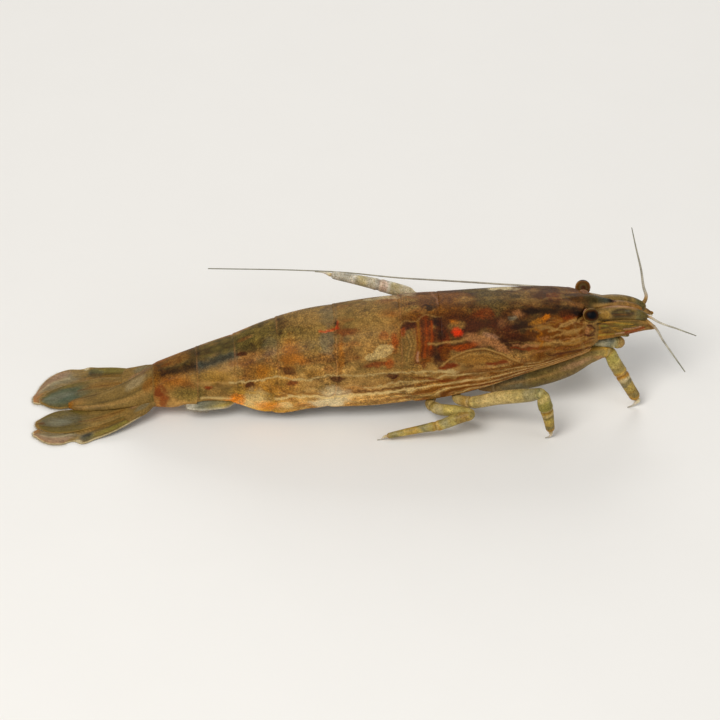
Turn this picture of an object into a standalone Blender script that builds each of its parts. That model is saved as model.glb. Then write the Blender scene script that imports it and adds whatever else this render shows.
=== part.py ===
"""Freshwater fan shrimp standing on a floor: closed solids, one for each named part of the body.

X runs from the tail to the head, Y to the animal's left and Z up from the floor at 0.
The tables are in millimetres; `add_solid` turns them into metres about the middle of the model.
"""

import bpy
import numpy as np

NAME = "fan_shrimp"
MM = 0.001
MIDDLE_X = 2.55
MIDDLE_Y = 3.75

GAP = 0.10
CROWN_POWER = 2.4
FLAP = 0.55
ROOF = 0.5
REAR_SWELL = 0.14
FEELER_RADIUS = 0.25
FIN_THICKNESS = 0.50
EYE_RADIUS = 0.90

# Along the body: x, top, widest level, half width, lower margin, half width at the margin.
BODY = np.array([
    (-20.2, 5.0, 2.8, 2.50, 0.95, 2.0),
    (-17.3, 6.3, 3.2, 2.80, 1.05, 2.3),
    (-15.4, 6.95, 3.7, 3.10, 2.25, 2.6),
    (-13.3, 7.6, 4.2, 3.50, 2.40, 2.8),
    (-11.3, 8.3, 4.6, 3.80, 2.30, 3.1),
    (-9.0, 9.35, 5.0, 4.10, 1.55, 3.3),
    (-6.7, 10.25, 5.4, 4.40, 1.25, 3.5),
    (-3.7, 11.1, 5.8, 4.60, 1.85, 3.7),
    (-0.5, 11.65, 6.1, 4.75, 2.05, 3.8),
    (3.0, 12.2, 6.4, 4.80, 2.15, 3.9),
    (6.5, 12.6, 6.7, 4.80, 2.40, 3.9),
    (10.7, 12.85, 6.9, 4.80, 2.80, 3.9),
    (15.1, 13.05, 7.3, 4.75, 3.90, 3.9),
    (19.5, 13.15, 7.7, 4.60, 5.50, 3.8),
    (23.8, 12.95, 8.2, 4.35, 6.90, 3.6),
    (25.6, 12.70, 8.5, 4.00, 7.40, 3.3),
    (28.1, 12.30, 9.0, 3.00, 7.60, 2.6),
])

# The cuts between the rings of the tail, and how far each one swings back at the lower margin.
CUTS = {
    "pleonite_1": (10.7, -0.8),
    "pleonite_2": (6.5, 1.2),
    "pleonite_3": (-0.5, -1.2),
    "pleonite_4": (-6.7, -0.9),
    "pleonite_5": (-11.3, -0.7),
    "pleonite_6": (-15.4, -0.4),
}
TAIL_END = -20.2

# The beak: x, half width, underside, side edge and ridge.
BEAK = [
    (24.6, 1.5, 11.9, 12.2, 12.78), (26.4, 1.05, 11.9, 12.2, 12.72),
    (28.4, 0.55, 11.85, 12.05, 12.40), (29.8, 0.12, 11.80, 11.9, 12.10),
]

ARC = np.linspace(0.0, np.pi / 2.0, 8)
SIDE = np.linspace(0.0, 1.0, 6)[1:]
OUTER = len(ARC) + len(SIDE)
SHOULDER = len(ARC) + 1


def clear_scene():
    for found in list(bpy.data.objects):
        bpy.data.objects.remove(found, do_unlink=True)


def make_collection(name, hidden=False):
    made = bpy.data.collections.new(name)
    made.hide_render = hidden
    bpy.context.scene.collection.children.link(made)
    return made


def make_material(name, colour, roughness):
    made = bpy.data.materials.new(name)
    made.use_nodes = True
    shader = made.node_tree.nodes["Principled BSDF"]
    shader.inputs["Base Color"].default_value = (*colour, 1.0)
    shader.inputs["Roughness"].default_value = roughness
    return made


SHELL = (0.30, 0.21, 0.10)
DARK_SHELL = (0.24, 0.17, 0.09)
FIN = (0.33, 0.30, 0.16)
LEG = (0.52, 0.47, 0.26)
PALE = (0.68, 0.64, 0.50)
EYE = (0.02, 0.02, 0.03)


def add_solid(name, points, faces, colour, roughness=0.45, home=NAME):
    """One closed mesh object, its points given in millimetres."""
    placed = (np.asarray(points, float) - (MIDDLE_X, MIDDLE_Y, 0.0)) * MM
    mesh = bpy.data.meshes.new(name)
    mesh.from_pydata(placed.tolist(), [], [tuple(int(i) for i in f) for f in faces])
    mesh.validate()
    mesh.update()
    made = bpy.data.objects.new(name, mesh)
    made.data.materials.append(make_material(name, colour, roughness))
    bpy.data.collections[home].objects.link(made)
    return made


def skin(rings, start_cap, end_cap):
    """Faces joining equal rings of points in order, closed by the triangles of the two caps."""
    count, around = len(rings), len(rings[0])
    points = np.concatenate(rings)
    faces = []
    for row in range(count - 1):
        for i in range(around):
            a = row * around + i
            b = row * around + (i + 1) % around
            faces.append((a, b, b + around))
            faces.append((a, b + around, a + around))
    faces += [tuple(f)[::-1] for f in start_cap]
    last = (count - 1) * around
    faces += [tuple(i + last for i in f) for f in end_cap]
    return outward(points, faces)


def outward(points, faces):
    """The same solid with its faces turned so that the enclosed volume is positive."""
    corners = points[np.array(faces)]
    volume = np.einsum("ij,ij->i", corners[:, 0], np.cross(corners[:, 1], corners[:, 2])).sum()
    return points, ([f[::-1] for f in faces] if volume < 0 else faces)


def fan_cap(around):
    return [(0, i, i + 1) for i in range(1, around - 1)]


# Rings of the body ------------------------------------------------------------------------------


def hull_at(x):
    """Top, widest level, half width, lower margin and margin half width at each x."""
    return [np.interp(x, BODY[:, 0], BODY[:, k]) for k in range(1, 6)]


def half_outline(base_x, swing, swell):
    """Half of a section: crown to margin, then up the inside of the flap to the middle of the roof."""
    x = np.concatenate([np.full(len(ARC), base_x), base_x + swing * SIDE**2])
    top, level, half, margin, foot = hull_at(x)
    half = half + swell
    top = top + swell
    bend = 2.0 / CROWN_POWER
    n = len(ARC)
    y = np.empty(OUTER)
    z = np.empty(OUTER)
    y[:n] = half[:n] * np.sin(ARC) ** bend
    z[:n] = level[:n] + (top[:n] - level[:n]) * np.maximum(np.cos(ARC), 0.0) ** bend
    y[n:] = half[n:] - (half[n:] - foot[n:] - swell) * SIDE**2
    z[n:] = level[n:] - (level[n:] - margin[n:]) * SIDE
    y[0] = 0.0
    roof_x = base_x + swing * ROOF**2
    _, level_r, half_r, margin_r, foot_r = (float(v) for v in hull_at(roof_x))
    roof_z = level_r - (level_r - margin_r) * ROOF
    roof_y = half_r - (half_r - foot_r) * ROOF**2 - FLAP
    inner = np.array([
        (x[-1], y[-1] - FLAP, z[-1]),
        (roof_x, roof_y, roof_z),
        (roof_x, 0.0, roof_z),
    ])
    return np.concatenate([np.stack([x, y, z], 1), inner])


def whole_ring(half):
    """A closed ring from one half: the right side down and the left side back up."""
    mirror = np.array([1.0, -1.0, 1.0])
    return np.concatenate([half * mirror, half[1:-1][::-1]])


def body_cap():
    """Triangles that close a body ring: strips across it, and a fan in each flap."""
    n = OUTER
    inner, roof, middle = n, n + 1, n + 2
    total = 2 * (n + 3) - 2

    def other(i):
        return (total - i) % total

    faces = [(0, 1, other(1))]
    for i in range(1, SHOULDER):
        faces.append((i, i + 1, other(i + 1)))
        faces.append((i, other(i + 1), other(i)))
    j = SHOULDER
    faces += [(j, roof, middle), (j, middle, other(j)), (other(j), middle, other(roof))]
    for i in range(j, n - 1):
        faces.append((i, i + 1, roof))
        faces.append((other(i), other(roof), other(i + 1)))
    faces.append((n - 1, inner, roof))
    faces.append((other(n - 1), other(roof), other(inner)))
    return faces


def body_piece(name, rear, front, rear_swing, front_swing, steps, colour):
    """A ring of the body between two cuts, its rear edge a little proud."""
    rings = []
    for u in np.linspace(0.0, 1.0, steps + 1):
        base = rear + u * (front - rear)
        swing = rear_swing + u * (front_swing - rear_swing)
        swell = REAR_SWELL * (1.0 - u) ** 2 + 0.06 * np.sin(np.pi * u)
        rings.append(whole_ring(half_outline(base, swing, swell)))
    cap = body_cap()
    return add_solid(name, *skin(rings, cap, cap), colour)


def front_ring():
    """The front edge of the carapace: cut back round each eye, forward at the cheek."""
    across = np.concatenate([ARC / ARC[-1], 1.0 + SIDE])
    edge = np.interp(across, [0.0, 0.25, 0.42, 0.62, 1.0, 1.5, 2.0],
                     [26.5, 26.0, 25.25, 25.45, 26.4, 26.9, 26.3])
    half = half_outline(25.75, 0.0, 0.0)
    for i, x in enumerate(edge):
        half[i] = half_outline(x, 0.0, 0.0)[i]
        half[i, 0] = x
    half[-3] = half_outline(26.3, 0.0, 0.0)[-3]
    half[-2:, 0] = 26.7
    half[-2:, 2] = 8.05
    return half


def make_carapace():
    """Head and chest shield in one piece, with the short beak joined on."""
    rear_x, swing = CUTS["pleonite_1"]
    rings = []
    for x, part in ((10.7, 1.0), (12.5, 0.8), (15.1, 0.5), (17.5, 0.2), (19.5, 0.0), (21.7, 0.0),
                    (23.8, 0.0), (25.2, 0.0)):
        swell = REAR_SWELL * max(0.0, 1.0 - (x - rear_x) / 3.0) ** 2
        rings.append(whole_ring(half_outline(x + GAP / 2, swing * part, swell)))
    rings.append(whole_ring(front_ring()))
    cap = body_cap()
    shield = add_solid("carapace", *skin(rings, cap, cap), SHELL)
    beak_rings = []
    for x, half, low, side, ridge in BEAK:
        slope = (ridge + side) / 2 + 0.1
        beak_rings.append(np.array([
            (x, 0.0, ridge), (x, -half * 0.6, slope), (x, -half, side), (x, -half * 0.6, low),
            (x, half * 0.6, low), (x, half, side), (x, half * 0.6, slope),
        ]))
    beak = add_solid("beak", *skin(beak_rings, fan_cap(7), fan_cap(7)), SHELL, home="helpers")
    join = shield.modifiers.new("beak", "BOOLEAN")
    join.operation = "UNION"
    join.solver = "EXACT"
    join.object = beak
    beak.display_type = "WIRE"
    beak.hide_render = True


def make_pleon():
    """The five ringed plates of the tail that carry side flaps, and the narrow sixth."""
    names = list(CUTS)
    colours = (SHELL, DARK_SHELL)
    for k, name in enumerate(names[:5]):
        front, front_swing = CUTS[name]
        rear, rear_swing = CUTS[names[k + 1]]
        body_piece(name, rear + GAP / 2, front - GAP / 2, rear_swing, front_swing, 4, colours[k % 2])
    rings = []
    front, _ = CUTS["pleonite_6"]
    angles = np.linspace(0.0, 2.0 * np.pi, 24, endpoint=False)
    bend = 2.0 / CROWN_POWER
    sections = ((TAIL_END, 0.10, 0.0), (-18.7, 0.06, -0.05), (-17.0, 0.05, -0.15),
                (front - 0.12, 0.0, -0.45))
    for x, swell, swing in sections:
        top, level, half, low, _ = (float(v) for v in hull_at(x))
        low = min(low, 1.3)
        up = np.sign(np.cos(angles)) * np.abs(np.cos(angles)) ** bend
        out = np.sign(np.sin(angles)) * np.abs(np.sin(angles)) ** bend
        rise = np.where(up > 0, top + swell - level, level - low)
        back = x + swing * np.minimum(up, 0.0) ** 2
        rings.append(np.stack([back, -(half + swell) * out, level + rise * up], 1))
    add_solid("pleonite_6", *skin(rings, fan_cap(24), fan_cap(24)), SHELL)


def make_thorax():
    """Underside of the chest, lying in the channel between the shield's flaps."""
    rings = []
    for x in (9.7, 12.0, 14.5, 17.0, 19.5, 22.0, 24.9):
        _, level, half, margin, foot = (float(v) for v in hull_at(x))
        roof = level - (level - margin) * ROOF - GAP
        wide = half - (half - foot) * ROOF**2 - FLAP - 0.25
        low = margin - 0.42
        mid = margin + 0.25
        half_ring = [
            (0.0, roof), (-wide, roof), (-(foot - FLAP - 0.35), mid), (-1.65, low), (0.0, low - 0.1),
        ]
        ring = half_ring + [(-y, z) for y, z in half_ring[1:-1][::-1]]
        rings.append(np.array([(x, y, z) for y, z in ring]))
    add_solid("thorax", *skin(rings, fan_cap(8), fan_cap(8)), LEG)


# Round limbs and feelers ------------------------------------------------------------------------


def tube(name, stations, colour, sides=8, side_axis=(0.0, 1.0, 0.0), foot=False):
    """A limb swept through stations (x, y, z, half width, half height), ending on a flat if it stands."""
    table = np.array([s if len(s) == 5 else (*s, s[3]) for s in stations], float)
    path = table[:, :3]
    step = np.diff(path, axis=0)
    step /= np.linalg.norm(step, axis=1)[:, None]
    along = np.concatenate([step[:1], step[:-1] + step[1:], step[-1:]])
    along /= np.linalg.norm(along, axis=1)[:, None]
    side = np.array(side_axis)
    turn = 2.0 * np.pi * (np.arange(sides) + 0.5) / sides
    rings = []
    for k, centre in enumerate(path):
        side = side - along[k] * side.dot(along[k])
        side = side / np.linalg.norm(side)
        up = np.cross(along[k], side)
        spread = np.outer(np.cos(turn) * table[k, 3], side)
        spread += np.outer(np.sin(turn) * table[k, 4], up)
        if foot and k == len(path) - 1:
            spread[:, 2] = 0.0
            spread *= (table[k, 3] / np.linalg.norm(spread, axis=1))[:, None]
        rings.append(centre + spread)
    return add_solid(name, *skin(rings, fan_cap(sides), fan_cap(sides)), colour)


def mirrored(stations):
    return [(s[0], -s[1], *s[2:]) for s in stations]


WALKING_LEGS = {
    "leg_3_right": [
        (14.6, -2.35, 3.05, 0.45), (15.6, -2.40, 3.05, 0.60, 0.70), (17.6, -2.45, 3.25, 0.75, 1.00),
        (21.2, -2.60, 4.05, 0.80, 1.08), (24.4, -2.55, 5.15, 0.80, 1.05), (27.0, -2.15, 6.40, 0.74, 0.85),
        (28.75, -2.05, 6.80, 0.70, 0.62), (29.6, -2.25, 5.30, 0.76, 0.72),
        (30.35, -2.50, 3.95, 0.72, 0.70),
        (31.0, -2.75, 2.70, 0.56, 0.58), (31.95, -3.05, 0.95, 0.50, 0.50),
        (31.85, -3.15, 0.45, 0.34, 0.34),
        (31.5, -3.24, 0.0, 0.22),
    ],
    "leg_4_right": [
        (12.5, -2.45, 2.62, 0.45), (12.4, -3.5, 2.42, 0.52), (13.2, -4.45, 2.60, 0.60),
        (16.9, -6.0, 4.15, 0.74),
        (19.9, -7.40, 5.45, 0.72), (21.2, -8.0, 5.95, 0.60), (21.5, -8.05, 4.70, 0.78),
        (21.8, -8.05, 3.50, 0.68),
        (22.0, -8.08, 2.40, 0.57), (22.2, -8.10, 0.95, 0.46), (22.25, -8.11, 0.50, 0.32),
        (22.0, -8.11, 0.0, 0.22),
    ],
    "leg_5_right": [
        (10.0, -2.50, 2.12, 0.42), (9.5, -3.7, 1.95, 0.50), (10.3, -5.0, 2.20, 0.56),
        (12.5, -6.6, 2.95, 0.60),
        (13.6, -7.45, 3.15, 0.55), (12.4, -7.45, 2.72, 0.60), (10.4, -7.42, 1.85, 0.56),
        (8.6, -7.40, 1.45, 0.45),
        (6.4, -7.40, 0.98, 0.38), (4.8, -7.38, 0.60, 0.30), (4.25, -7.37, 0.30, 0.26),
        (4.0, -7.36, 0.0, 0.22),
    ],
    "leg_5_left": [
        (10.0, 2.50, 2.12, 0.42), (9.6, 3.7, 1.92, 0.50), (9.3, 4.9, 2.30, 0.56), (9.0, 6.6, 4.70, 0.70),
        (8.75, 8.1, 6.75, 0.70), (8.1, 8.75, 7.45, 0.58), (6.6, 9.1, 7.78, 0.64), (5.0, 9.5, 8.10, 0.56),
        (3.0, 9.95, 8.45, 0.49), (0.4, 10.5, 8.88, 0.41), (-0.5, 10.7, 9.02, 0.30),
        (-0.96, 10.8, 9.10, 0.25),
    ],
    "leg_4_left": [
        (12.5, 2.45, 2.62, 0.45), (12.5, 3.6, 2.42, 0.52), (13.6, 4.6, 2.75, 0.60),
        (16.9, 5.8, 4.10, 0.70),
        (19.4, 6.7, 5.10, 0.66), (20.5, 7.2, 5.30, 0.52), (20.6, 7.7, 4.30, 0.62),
        (20.6, 8.15, 3.10, 0.60),
        (20.5, 8.5, 2.10, 0.50), (20.3, 8.85, 0.95, 0.42), (20.25, 8.95, 0.50, 0.32),
        (20.0, 9.0, 0.0, 0.22),
    ],
    "leg_3_left": [
        (14.6, 2.35, 3.05, 0.45), (15.8, 2.7, 3.05, 0.60, 0.65), (17.8, 3.3, 3.40, 0.75, 0.85),
        (20.4, 4.2, 4.40, 0.78, 0.95), (23.2, 5.1, 5.55, 0.76, 0.85), (24.9, 5.7, 6.05, 0.70, 0.62),
        (25.5, 6.3, 4.80, 0.72, 0.70), (26.1, 6.9, 3.60, 0.66, 0.66), (26.6, 7.5, 2.30, 0.54, 0.54),
        (27.2, 8.2, 0.95, 0.46, 0.46), (27.25, 8.4, 0.45, 0.32, 0.32), (27.0, 8.5, 0.0, 0.22),
    ],
}

MOUTH_LIMBS = {
    "cheliped_1": [
        (20.2, -1.15, 4.45, 0.36), (22.4, -1.18, 5.10, 0.42), (24.8, -1.18, 5.95, 0.40),
        (26.5, -1.22, 7.15, 0.36),
        (27.4, -1.72, 8.05, 0.40), (28.9, -1.92, 8.06, 0.48), (30.0, -1.78, 7.62, 0.52),
        (30.55, -1.65, 7.25, 0.30),
    ],
    "cheliped_2": [
        (21.9, -0.38, 4.75, 0.30), (24.0, -0.38, 5.35, 0.32), (25.9, -0.40, 6.25, 0.31),
        (27.2, -0.62, 7.05, 0.33),
        (28.8, -0.70, 7.15, 0.36), (30.0, -0.70, 6.95, 0.34), (30.4, -0.68, 6.80, 0.20),
    ],
    "maxilliped": [
        (27.1, -0.42, 8.00, 0.30), (28.6, -0.44, 8.05, 0.33), (30.0, -0.46, 7.95, 0.30),
        (31.2, -0.50, 7.75, 0.22),
    ],
}

PEDUNCLES = {
    "antennule": [
        (26.70, -0.84, 10.68, 0.42), (27.6, -0.95, 10.96, 0.68), (29.3, -0.98, 11.08, 0.76),
        (30.3, -0.97, 11.05, 0.68),
        (31.2, -0.95, 10.92, 0.72), (32.0, -0.93, 10.72, 0.64), (32.7, -0.92, 10.52, 0.50),
    ],
    "antenna_base": [
        (27.25, -1.30, 9.00, 0.46), (28.6, -1.16, 8.88, 0.46), (30.0, -0.96, 8.86, 0.42),
        (31.4, -0.80, 8.78, 0.34),
    ],
}

FEELERS = {
    "antennule_outer_left": [
        (32.93, 1.18, 10.86), (33.20, 1.75, 11.15), (32.98, 2.3, 11.9), (32.72, 3.2, 13.69),
        (32.2, 4.2, 15.95),
        (31.75, 5.0, 18.1),
    ],
    "antennule_inner_left": [
        (33.00, 0.62, 10.15), (33.9, 0.90, 9.62), (34.1, 2.0, 8.95), (33.4, 3.8, 7.80),
        (32.4, 6.0, 6.20), (31.8, 8.0, 4.60),
    ],
    "antennule_outer_right": [
        (33.15, -0.72, 10.35), (34.3, -1.3, 9.95), (36.2, -2.15, 9.62), (38.2, -3.0, 9.22),
    ],
    "antennule_inner_right": [
        (33.1, -1.2, 10.05), (33.95, -1.9, 9.55), (34.6, -2.7, 8.65), (35.8, -3.9, 7.2),
        (36.9, -5.0, 5.9),
    ],
    "antenna_left": [
        (31.6, 0.95, 8.70), (32.1, 1.8, 8.40), (31.9, 3.0, 8.30), (30.4, 4.3, 8.70), (27.0, 5.1, 9.40),
        (22.87, 6.0, 9.65), (17.8, 7.8, 8.97), (11.4, 9.8, 8.26), (7.2, 11.0, 7.87), (0.8, 12.8, 7.59),
        (-3.5, 13.9, 7.21), (-13.6, 16.0, 6.33),
    ],
    "antenna_right": [
        (31.65, -0.8, 8.62), (32.35, -0.5, 8.35), (32.6, 0.6, 7.95), (32.0, 2.2, 7.40), (29.0, 4.5, 7.40),
        (24.0, 5.9, 8.35), (14.0, 6.0, 8.30), (4.0, 5.8, 7.50), (-4.0, 5.5, 6.30), (-10.0, 5.0, 5.00),
        (-14.0, 4.8, 4.00),
    ],
}


def make_limbs():
    for name, stations in WALKING_LEGS.items():
        tube(name, stations, LEG, foot=name != "leg_5_left")
    for name, stations in {**MOUTH_LIMBS, **PEDUNCLES}.items():
        tube(name + "_right", stations, LEG)
        tube(name + "_left", mirrored(stations), LEG)
    for name, path in FEELERS.items():
        tube(name, [(*p, FEELER_RADIUS) for p in path], PALE, sides=6, side_axis=(0.0, 0.3, 1.0))


# Head ---------------------------------------------------------------------------------------------


def make_head():
    """Eyes on their stalks, and the block that carries the feelers and the mouth."""
    for side, sign, x in (("right", -1.0, 27.0), ("left", 1.0, 26.40)):
        centre = np.array([x, 2.6 * sign, 12.25 if sign < 0 else 12.0])
        turns = np.linspace(0.0, np.pi, 9)
        rings = []
        around = 2.0 * np.pi * np.arange(12) / 12
        for t in turns[1:-1]:
            rings.append(centre + EYE_RADIUS * np.stack(
                [np.sin(t) * np.cos(around), np.sin(t) * np.sin(around), np.full(12, np.cos(t))], 1))
        add_solid("eye_" + side, *skin(rings, fan_cap(12), fan_cap(12)), EYE, 0.15)
        root = np.array([26.55, 1.05 * sign, 11.48])
        toward = centre - root
        reach = np.linalg.norm(toward) - EYE_RADIUS - 0.06
        toward /= np.linalg.norm(toward)
        end = root + toward * reach
        mid = root + toward * reach * 0.5
        stations = [(*root, 0.22), (*mid, 0.30), (*end, 0.36)]
        tube("eyestalk_" + side, stations, LEG, side_axis=(1.0, 0.0, 0.0))
    rings = []
    sections = ((27.05, 0.80, 8.42, 10.15), (28.2, 0.62, 8.48, 10.30), (29.4, 0.42, 8.55, 10.20))
    for x, half, low, high in sections:
        ring = [
            (0.0, high), (-half * 0.7, high - 0.15), (-half, (low + high) / 2), (-half * 0.6, low + 0.1),
            (0.0, low), (half * 0.6, low + 0.1), (half, (low + high) / 2), (half * 0.7, high - 0.15),
        ]
        rings.append(np.array([(x, y, z) for y, z in ring]))
    add_solid("mouth_block", *skin(rings, fan_cap(8), fan_cap(8)), LEG)


# Flat plates --------------------------------------------------------------------------------------


def plate(name, stations, colour, thickness=FIN_THICKNESS):
    """A thin leaf with bevelled edges through stations: x, y and z of one edge, y and z of the other."""
    rings = []
    for x, y0, z0, y1, z1 in stations:
        a = np.array([y0, z0])
        b = np.array([y1, z1])
        width = np.linalg.norm(b - a)
        d = (b - a) / width
        n = np.array([-d[1], d[0]]) * thickness / 2
        e = min(0.25, 0.3 * width)
        ring = [a, a + d * e + n, b - d * e + n, b, b - d * e - n, a + d * e - n]
        rings.append(np.array([(x, y, z) for y, z in ring]))
    cap = [(0, 1, 5), (1, 4, 5), (1, 2, 4), (2, 3, 4)]
    return add_solid(name, *skin(rings, cap, cap), colour)


def fan_level(x):
    """Middle level of the tail blades: sloping down from the body, then flat on the floor."""
    drop = np.clip((x + 27.0) / 6.5, 0.0, 1.0)
    return FIN_THICKNESS / 2 + 1.75 * drop**1.5


# Blades of the tail fan: x, outer edge y, inner edge y.
BLADES = {
    "uropod_outer_right": [
        (-21.95, -3.45, -2.35), (-23.0, -4.15, -2.25), (-24.6, -4.90, -2.35), (-26.6, -5.50, -2.50),
        (-28.5, -6.00, -2.65), (-28.9, -5.75, -2.68), (-30.4, -6.15, -2.80), (-31.8, -5.95, -2.95),
        (-32.7, -5.35, -3.15), (-33.2, -4.75, -3.60),
    ],
    "uropod_inner_right": [
        (-21.95, -2.22, -0.55), (-23.0, -2.12, -0.50), (-24.6, -2.22, -0.60), (-26.6, -2.37, -1.12),
        (-28.5, -2.52, -0.72), (-29.4, -2.57, -0.30), (-30.8, -2.70, -0.40), (-32.0, -2.84, -0.90),
        (-32.9, -2.98, -1.75), (-33.15, -2.95, -2.30),
    ],
    "uropod_outer_left": [
        (-21.95, 4.25, 2.85), (-22.8, 4.95, 2.75), (-24.4, 5.85, 2.80), (-26.0, 6.40, 2.90),
        (-27.3, 6.72, 3.00), (-27.8, 6.48, 3.02), (-29.4, 6.70, 3.08), (-30.8, 6.25, 3.08),
        (-31.9, 5.35, 3.05), (-32.6, 4.40, 3.30),
    ],
    "uropod_inner_left": [
        (-21.95, 2.72, 0.65), (-23.0, 2.62, 0.60), (-24.6, 2.67, 0.75), (-26.6, 2.80, 1.42),
        (-28.5, 2.88, 1.20), (-29.4, 2.92, 0.70), (-30.8, 2.95, 0.55), (-31.9, 2.92, 0.55),
        (-32.8, 2.75, 0.85), (-33.2, 2.40, 1.40),
    ],
}

# Stump that carries each pair of blades: x, outer y, inner y, middle level.
STUMP_THICKNESS = 1.1
STUMPS = {
    "right": [(-20.35, -2.60, -1.30, 1.90), (-21.0, -3.25, -1.00, 1.52), (-21.85, -3.70, -0.60, 1.18)],
    "left": [(-20.35, 2.85, 1.78, 2.40), (-21.0, 3.75, 1.80, 2.15), (-21.85, 4.45, 1.82, 1.65)],
}

# Last plate of the tail: x, half width, underside, top.
TELSON = [
    (-20.32, 1.60, 2.70, 4.35), (-22.0, 1.55, 1.78, 3.30), (-24.0, 1.36, 1.15, 2.35),
    (-26.0, 1.12, 0.62, 1.60), (-28.0, 0.88, 0.32, 1.05), (-29.0, 0.60, 0.22, 0.82),
    (-29.4, 0.30, 0.22, 0.72),
]
TELSON_BEND = 0.022

# Swimming legs: x, middle y, z of the outer edge, z of the inner edge, half breadth.
SWIMMERET = [
    (0.0, 1.75, 0.00, 0.00, 0.45), (-1.6, 1.95, -0.30, -0.45, 0.85), (-3.6, 2.05, -0.75, -1.00, 0.95),
    (-5.0, 2.05, -1.10, -1.40, 0.70), (-5.6, 2.05, -1.20, -1.50, 0.35),
]
# Their roots: x, level and size of each pair, and the last pair as its own leaf.
SWIMMERET_ROOTS = {1: (8.3, 4.27, 1.0), 2: (3.2, 3.90, 1.0), 3: (-3.3, 3.45, 0.92), 4: (-7.9, 3.05, 0.64)}
LAST_SWIMMERET = [
    (-13.3, -1.95, 2.98, -1.30, 2.98), (-14.1, -2.25, 2.30, -1.30, 1.75), (-15.0, -2.75, 1.85, -1.40, 1.10),
    (-16.3, -2.95, 1.72, -1.60, 0.80), (-16.9, -2.70, 1.50, -2.00, 0.95),
]


# Broad scales beside the feelers, right side: x, then y and z of the lower and upper edges.
SCALE = [
    (27.3, -2.85, 9.15, -2.10, 10.15), (28.6, -2.70, 9.20, -1.95, 10.28), (30.2, -2.35, 9.20, -1.80, 10.25),
    (31.8, -1.85, 9.15, -1.50, 10.00), (33.0, -1.45, 9.08, -1.20, 9.62), (33.8, -1.28, 9.02, -1.18, 9.22),
]


def make_scales():
    plate("antennal_scale_right", SCALE, FIN)
    plate("antennal_scale_left", [(x, -y0, z0, -y1, z1) for x, y0, z0, y1, z1 in SCALE], FIN)


def make_tail_fan():
    for name, stations in BLADES.items():
        plate(name, [(x, y0, fan_level(x), y1, fan_level(x)) for x, y0, y1 in stations], FIN)
    for side, stations in STUMPS.items():
        level = [(x, y0, z, y1, z) for x, y0, y1, z in stations]
        plate("uropod_base_" + side, level, SHELL, STUMP_THICKNESS)
    rings = []
    for x, half, low, high in TELSON:
        shift = TELSON_BEND * (-20.4 - x)
        mid = low + 0.3 * (high - low)
        ring = [
            (0.0, high), (-half * 0.6, high - 0.12), (-half, mid), (-half * 0.8, low),
            (half * 0.8, low), (half, mid), (half * 0.6, high - 0.12),
        ]
        rings.append(np.array([(x, y + shift, z) for y, z in ring]))
    add_solid("telson", *skin(rings, fan_cap(7), fan_cap(7)), SHELL)


def make_swimmerets():
    for number, (root, level, scale) in SWIMMERET_ROOTS.items():
        for side, sign in (("right", -scale), ("left", scale)):
            stations = [(root + x, sign * (y + half), level + z0, sign * (y - half), level + z1)
                        for x, y, z0, z1, half in SWIMMERET]
            plate(f"pleopod_{number}_{side}", stations, FIN)
    plate("pleopod_5_right", LAST_SWIMMERET, FIN)
    plate("pleopod_5_left", [(x, -y0, z0, -y1, z1) for x, y0, z0, y1, z1 in LAST_SWIMMERET], FIN)


def main():
    clear_scene()
    make_collection(NAME)
    make_collection("helpers", hidden=True)
    make_carapace()
    make_pleon()
    make_thorax()
    make_limbs()
    make_head()
    make_scales()
    make_tail_fan()
    make_swimmerets()


main()
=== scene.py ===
"""Freshwater fan shrimp: painted shell rings, banded legs, feelers, eyes, mouth fans and a spread tail.

Lengths in the tables are millimetres in the maker's frame: x toward the head, y to the animal's left, z up
from the floor. `placed` carries them into the shared frame, in metres.
"""

from __future__ import annotations

import logging
import math
from collections.abc import Iterable, Mapping, Sequence
from dataclasses import dataclass, field, replace
from enum import Enum

import bpy
import numpy as np
from numpy.typing import NDArray
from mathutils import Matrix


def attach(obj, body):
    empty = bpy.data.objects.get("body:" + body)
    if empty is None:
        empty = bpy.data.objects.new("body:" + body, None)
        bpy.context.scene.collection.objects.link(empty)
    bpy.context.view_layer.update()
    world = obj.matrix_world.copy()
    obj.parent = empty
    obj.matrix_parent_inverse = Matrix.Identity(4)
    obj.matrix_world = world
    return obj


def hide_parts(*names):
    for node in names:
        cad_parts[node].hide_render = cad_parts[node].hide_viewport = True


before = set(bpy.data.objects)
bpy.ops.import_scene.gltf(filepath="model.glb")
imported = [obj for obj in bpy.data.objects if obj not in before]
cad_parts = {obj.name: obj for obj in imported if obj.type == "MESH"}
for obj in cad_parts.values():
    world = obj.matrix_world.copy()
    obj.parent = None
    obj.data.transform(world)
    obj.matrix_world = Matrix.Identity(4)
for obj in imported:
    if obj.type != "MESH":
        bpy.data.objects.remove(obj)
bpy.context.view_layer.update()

Array = NDArray[np.float64]
Triple = tuple[float, float, float]
Table = tuple[tuple[float, ...], ...]
LOG = logging.getLogger("fan_shrimp")
MM = 0.001
MIDDLE = np.array((2.55, 3.75, 0.0))
SEED = 20
TAU = 2.0 * math.pi


# Numbers ----------------------------------------


def placed(points: Array) -> Array:
    """Millimetres of the maker's frame as metres of the shared frame."""
    return (points - MIDDLE) * MM


def ease(low: float, high: float, value: Array) -> Array:
    """0 below low, 1 above high, and 3t^2 - 2t^3 between them; low may be the larger."""
    t = np.clip((value - low) / (high - low), 0.0, 1.0)
    return t * t * (3.0 - 2.0 * t)


def bump(value: Array, centre: float, width: float) -> Array:
    """A bell: e to the minus square of the distance from the centre over the width."""
    return np.exp(-(((value - centre) / width) ** 2))


def power(wave: Array, exponent: float) -> Array:
    """The size of a wave raised to a power, with its sign kept."""
    return np.sign(wave) * np.abs(wave) ** exponent


def circle(count: int) -> Array:
    """Angles spaced evenly round a ring."""
    return np.linspace(0.0, TAU, count, endpoint=False)


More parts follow.
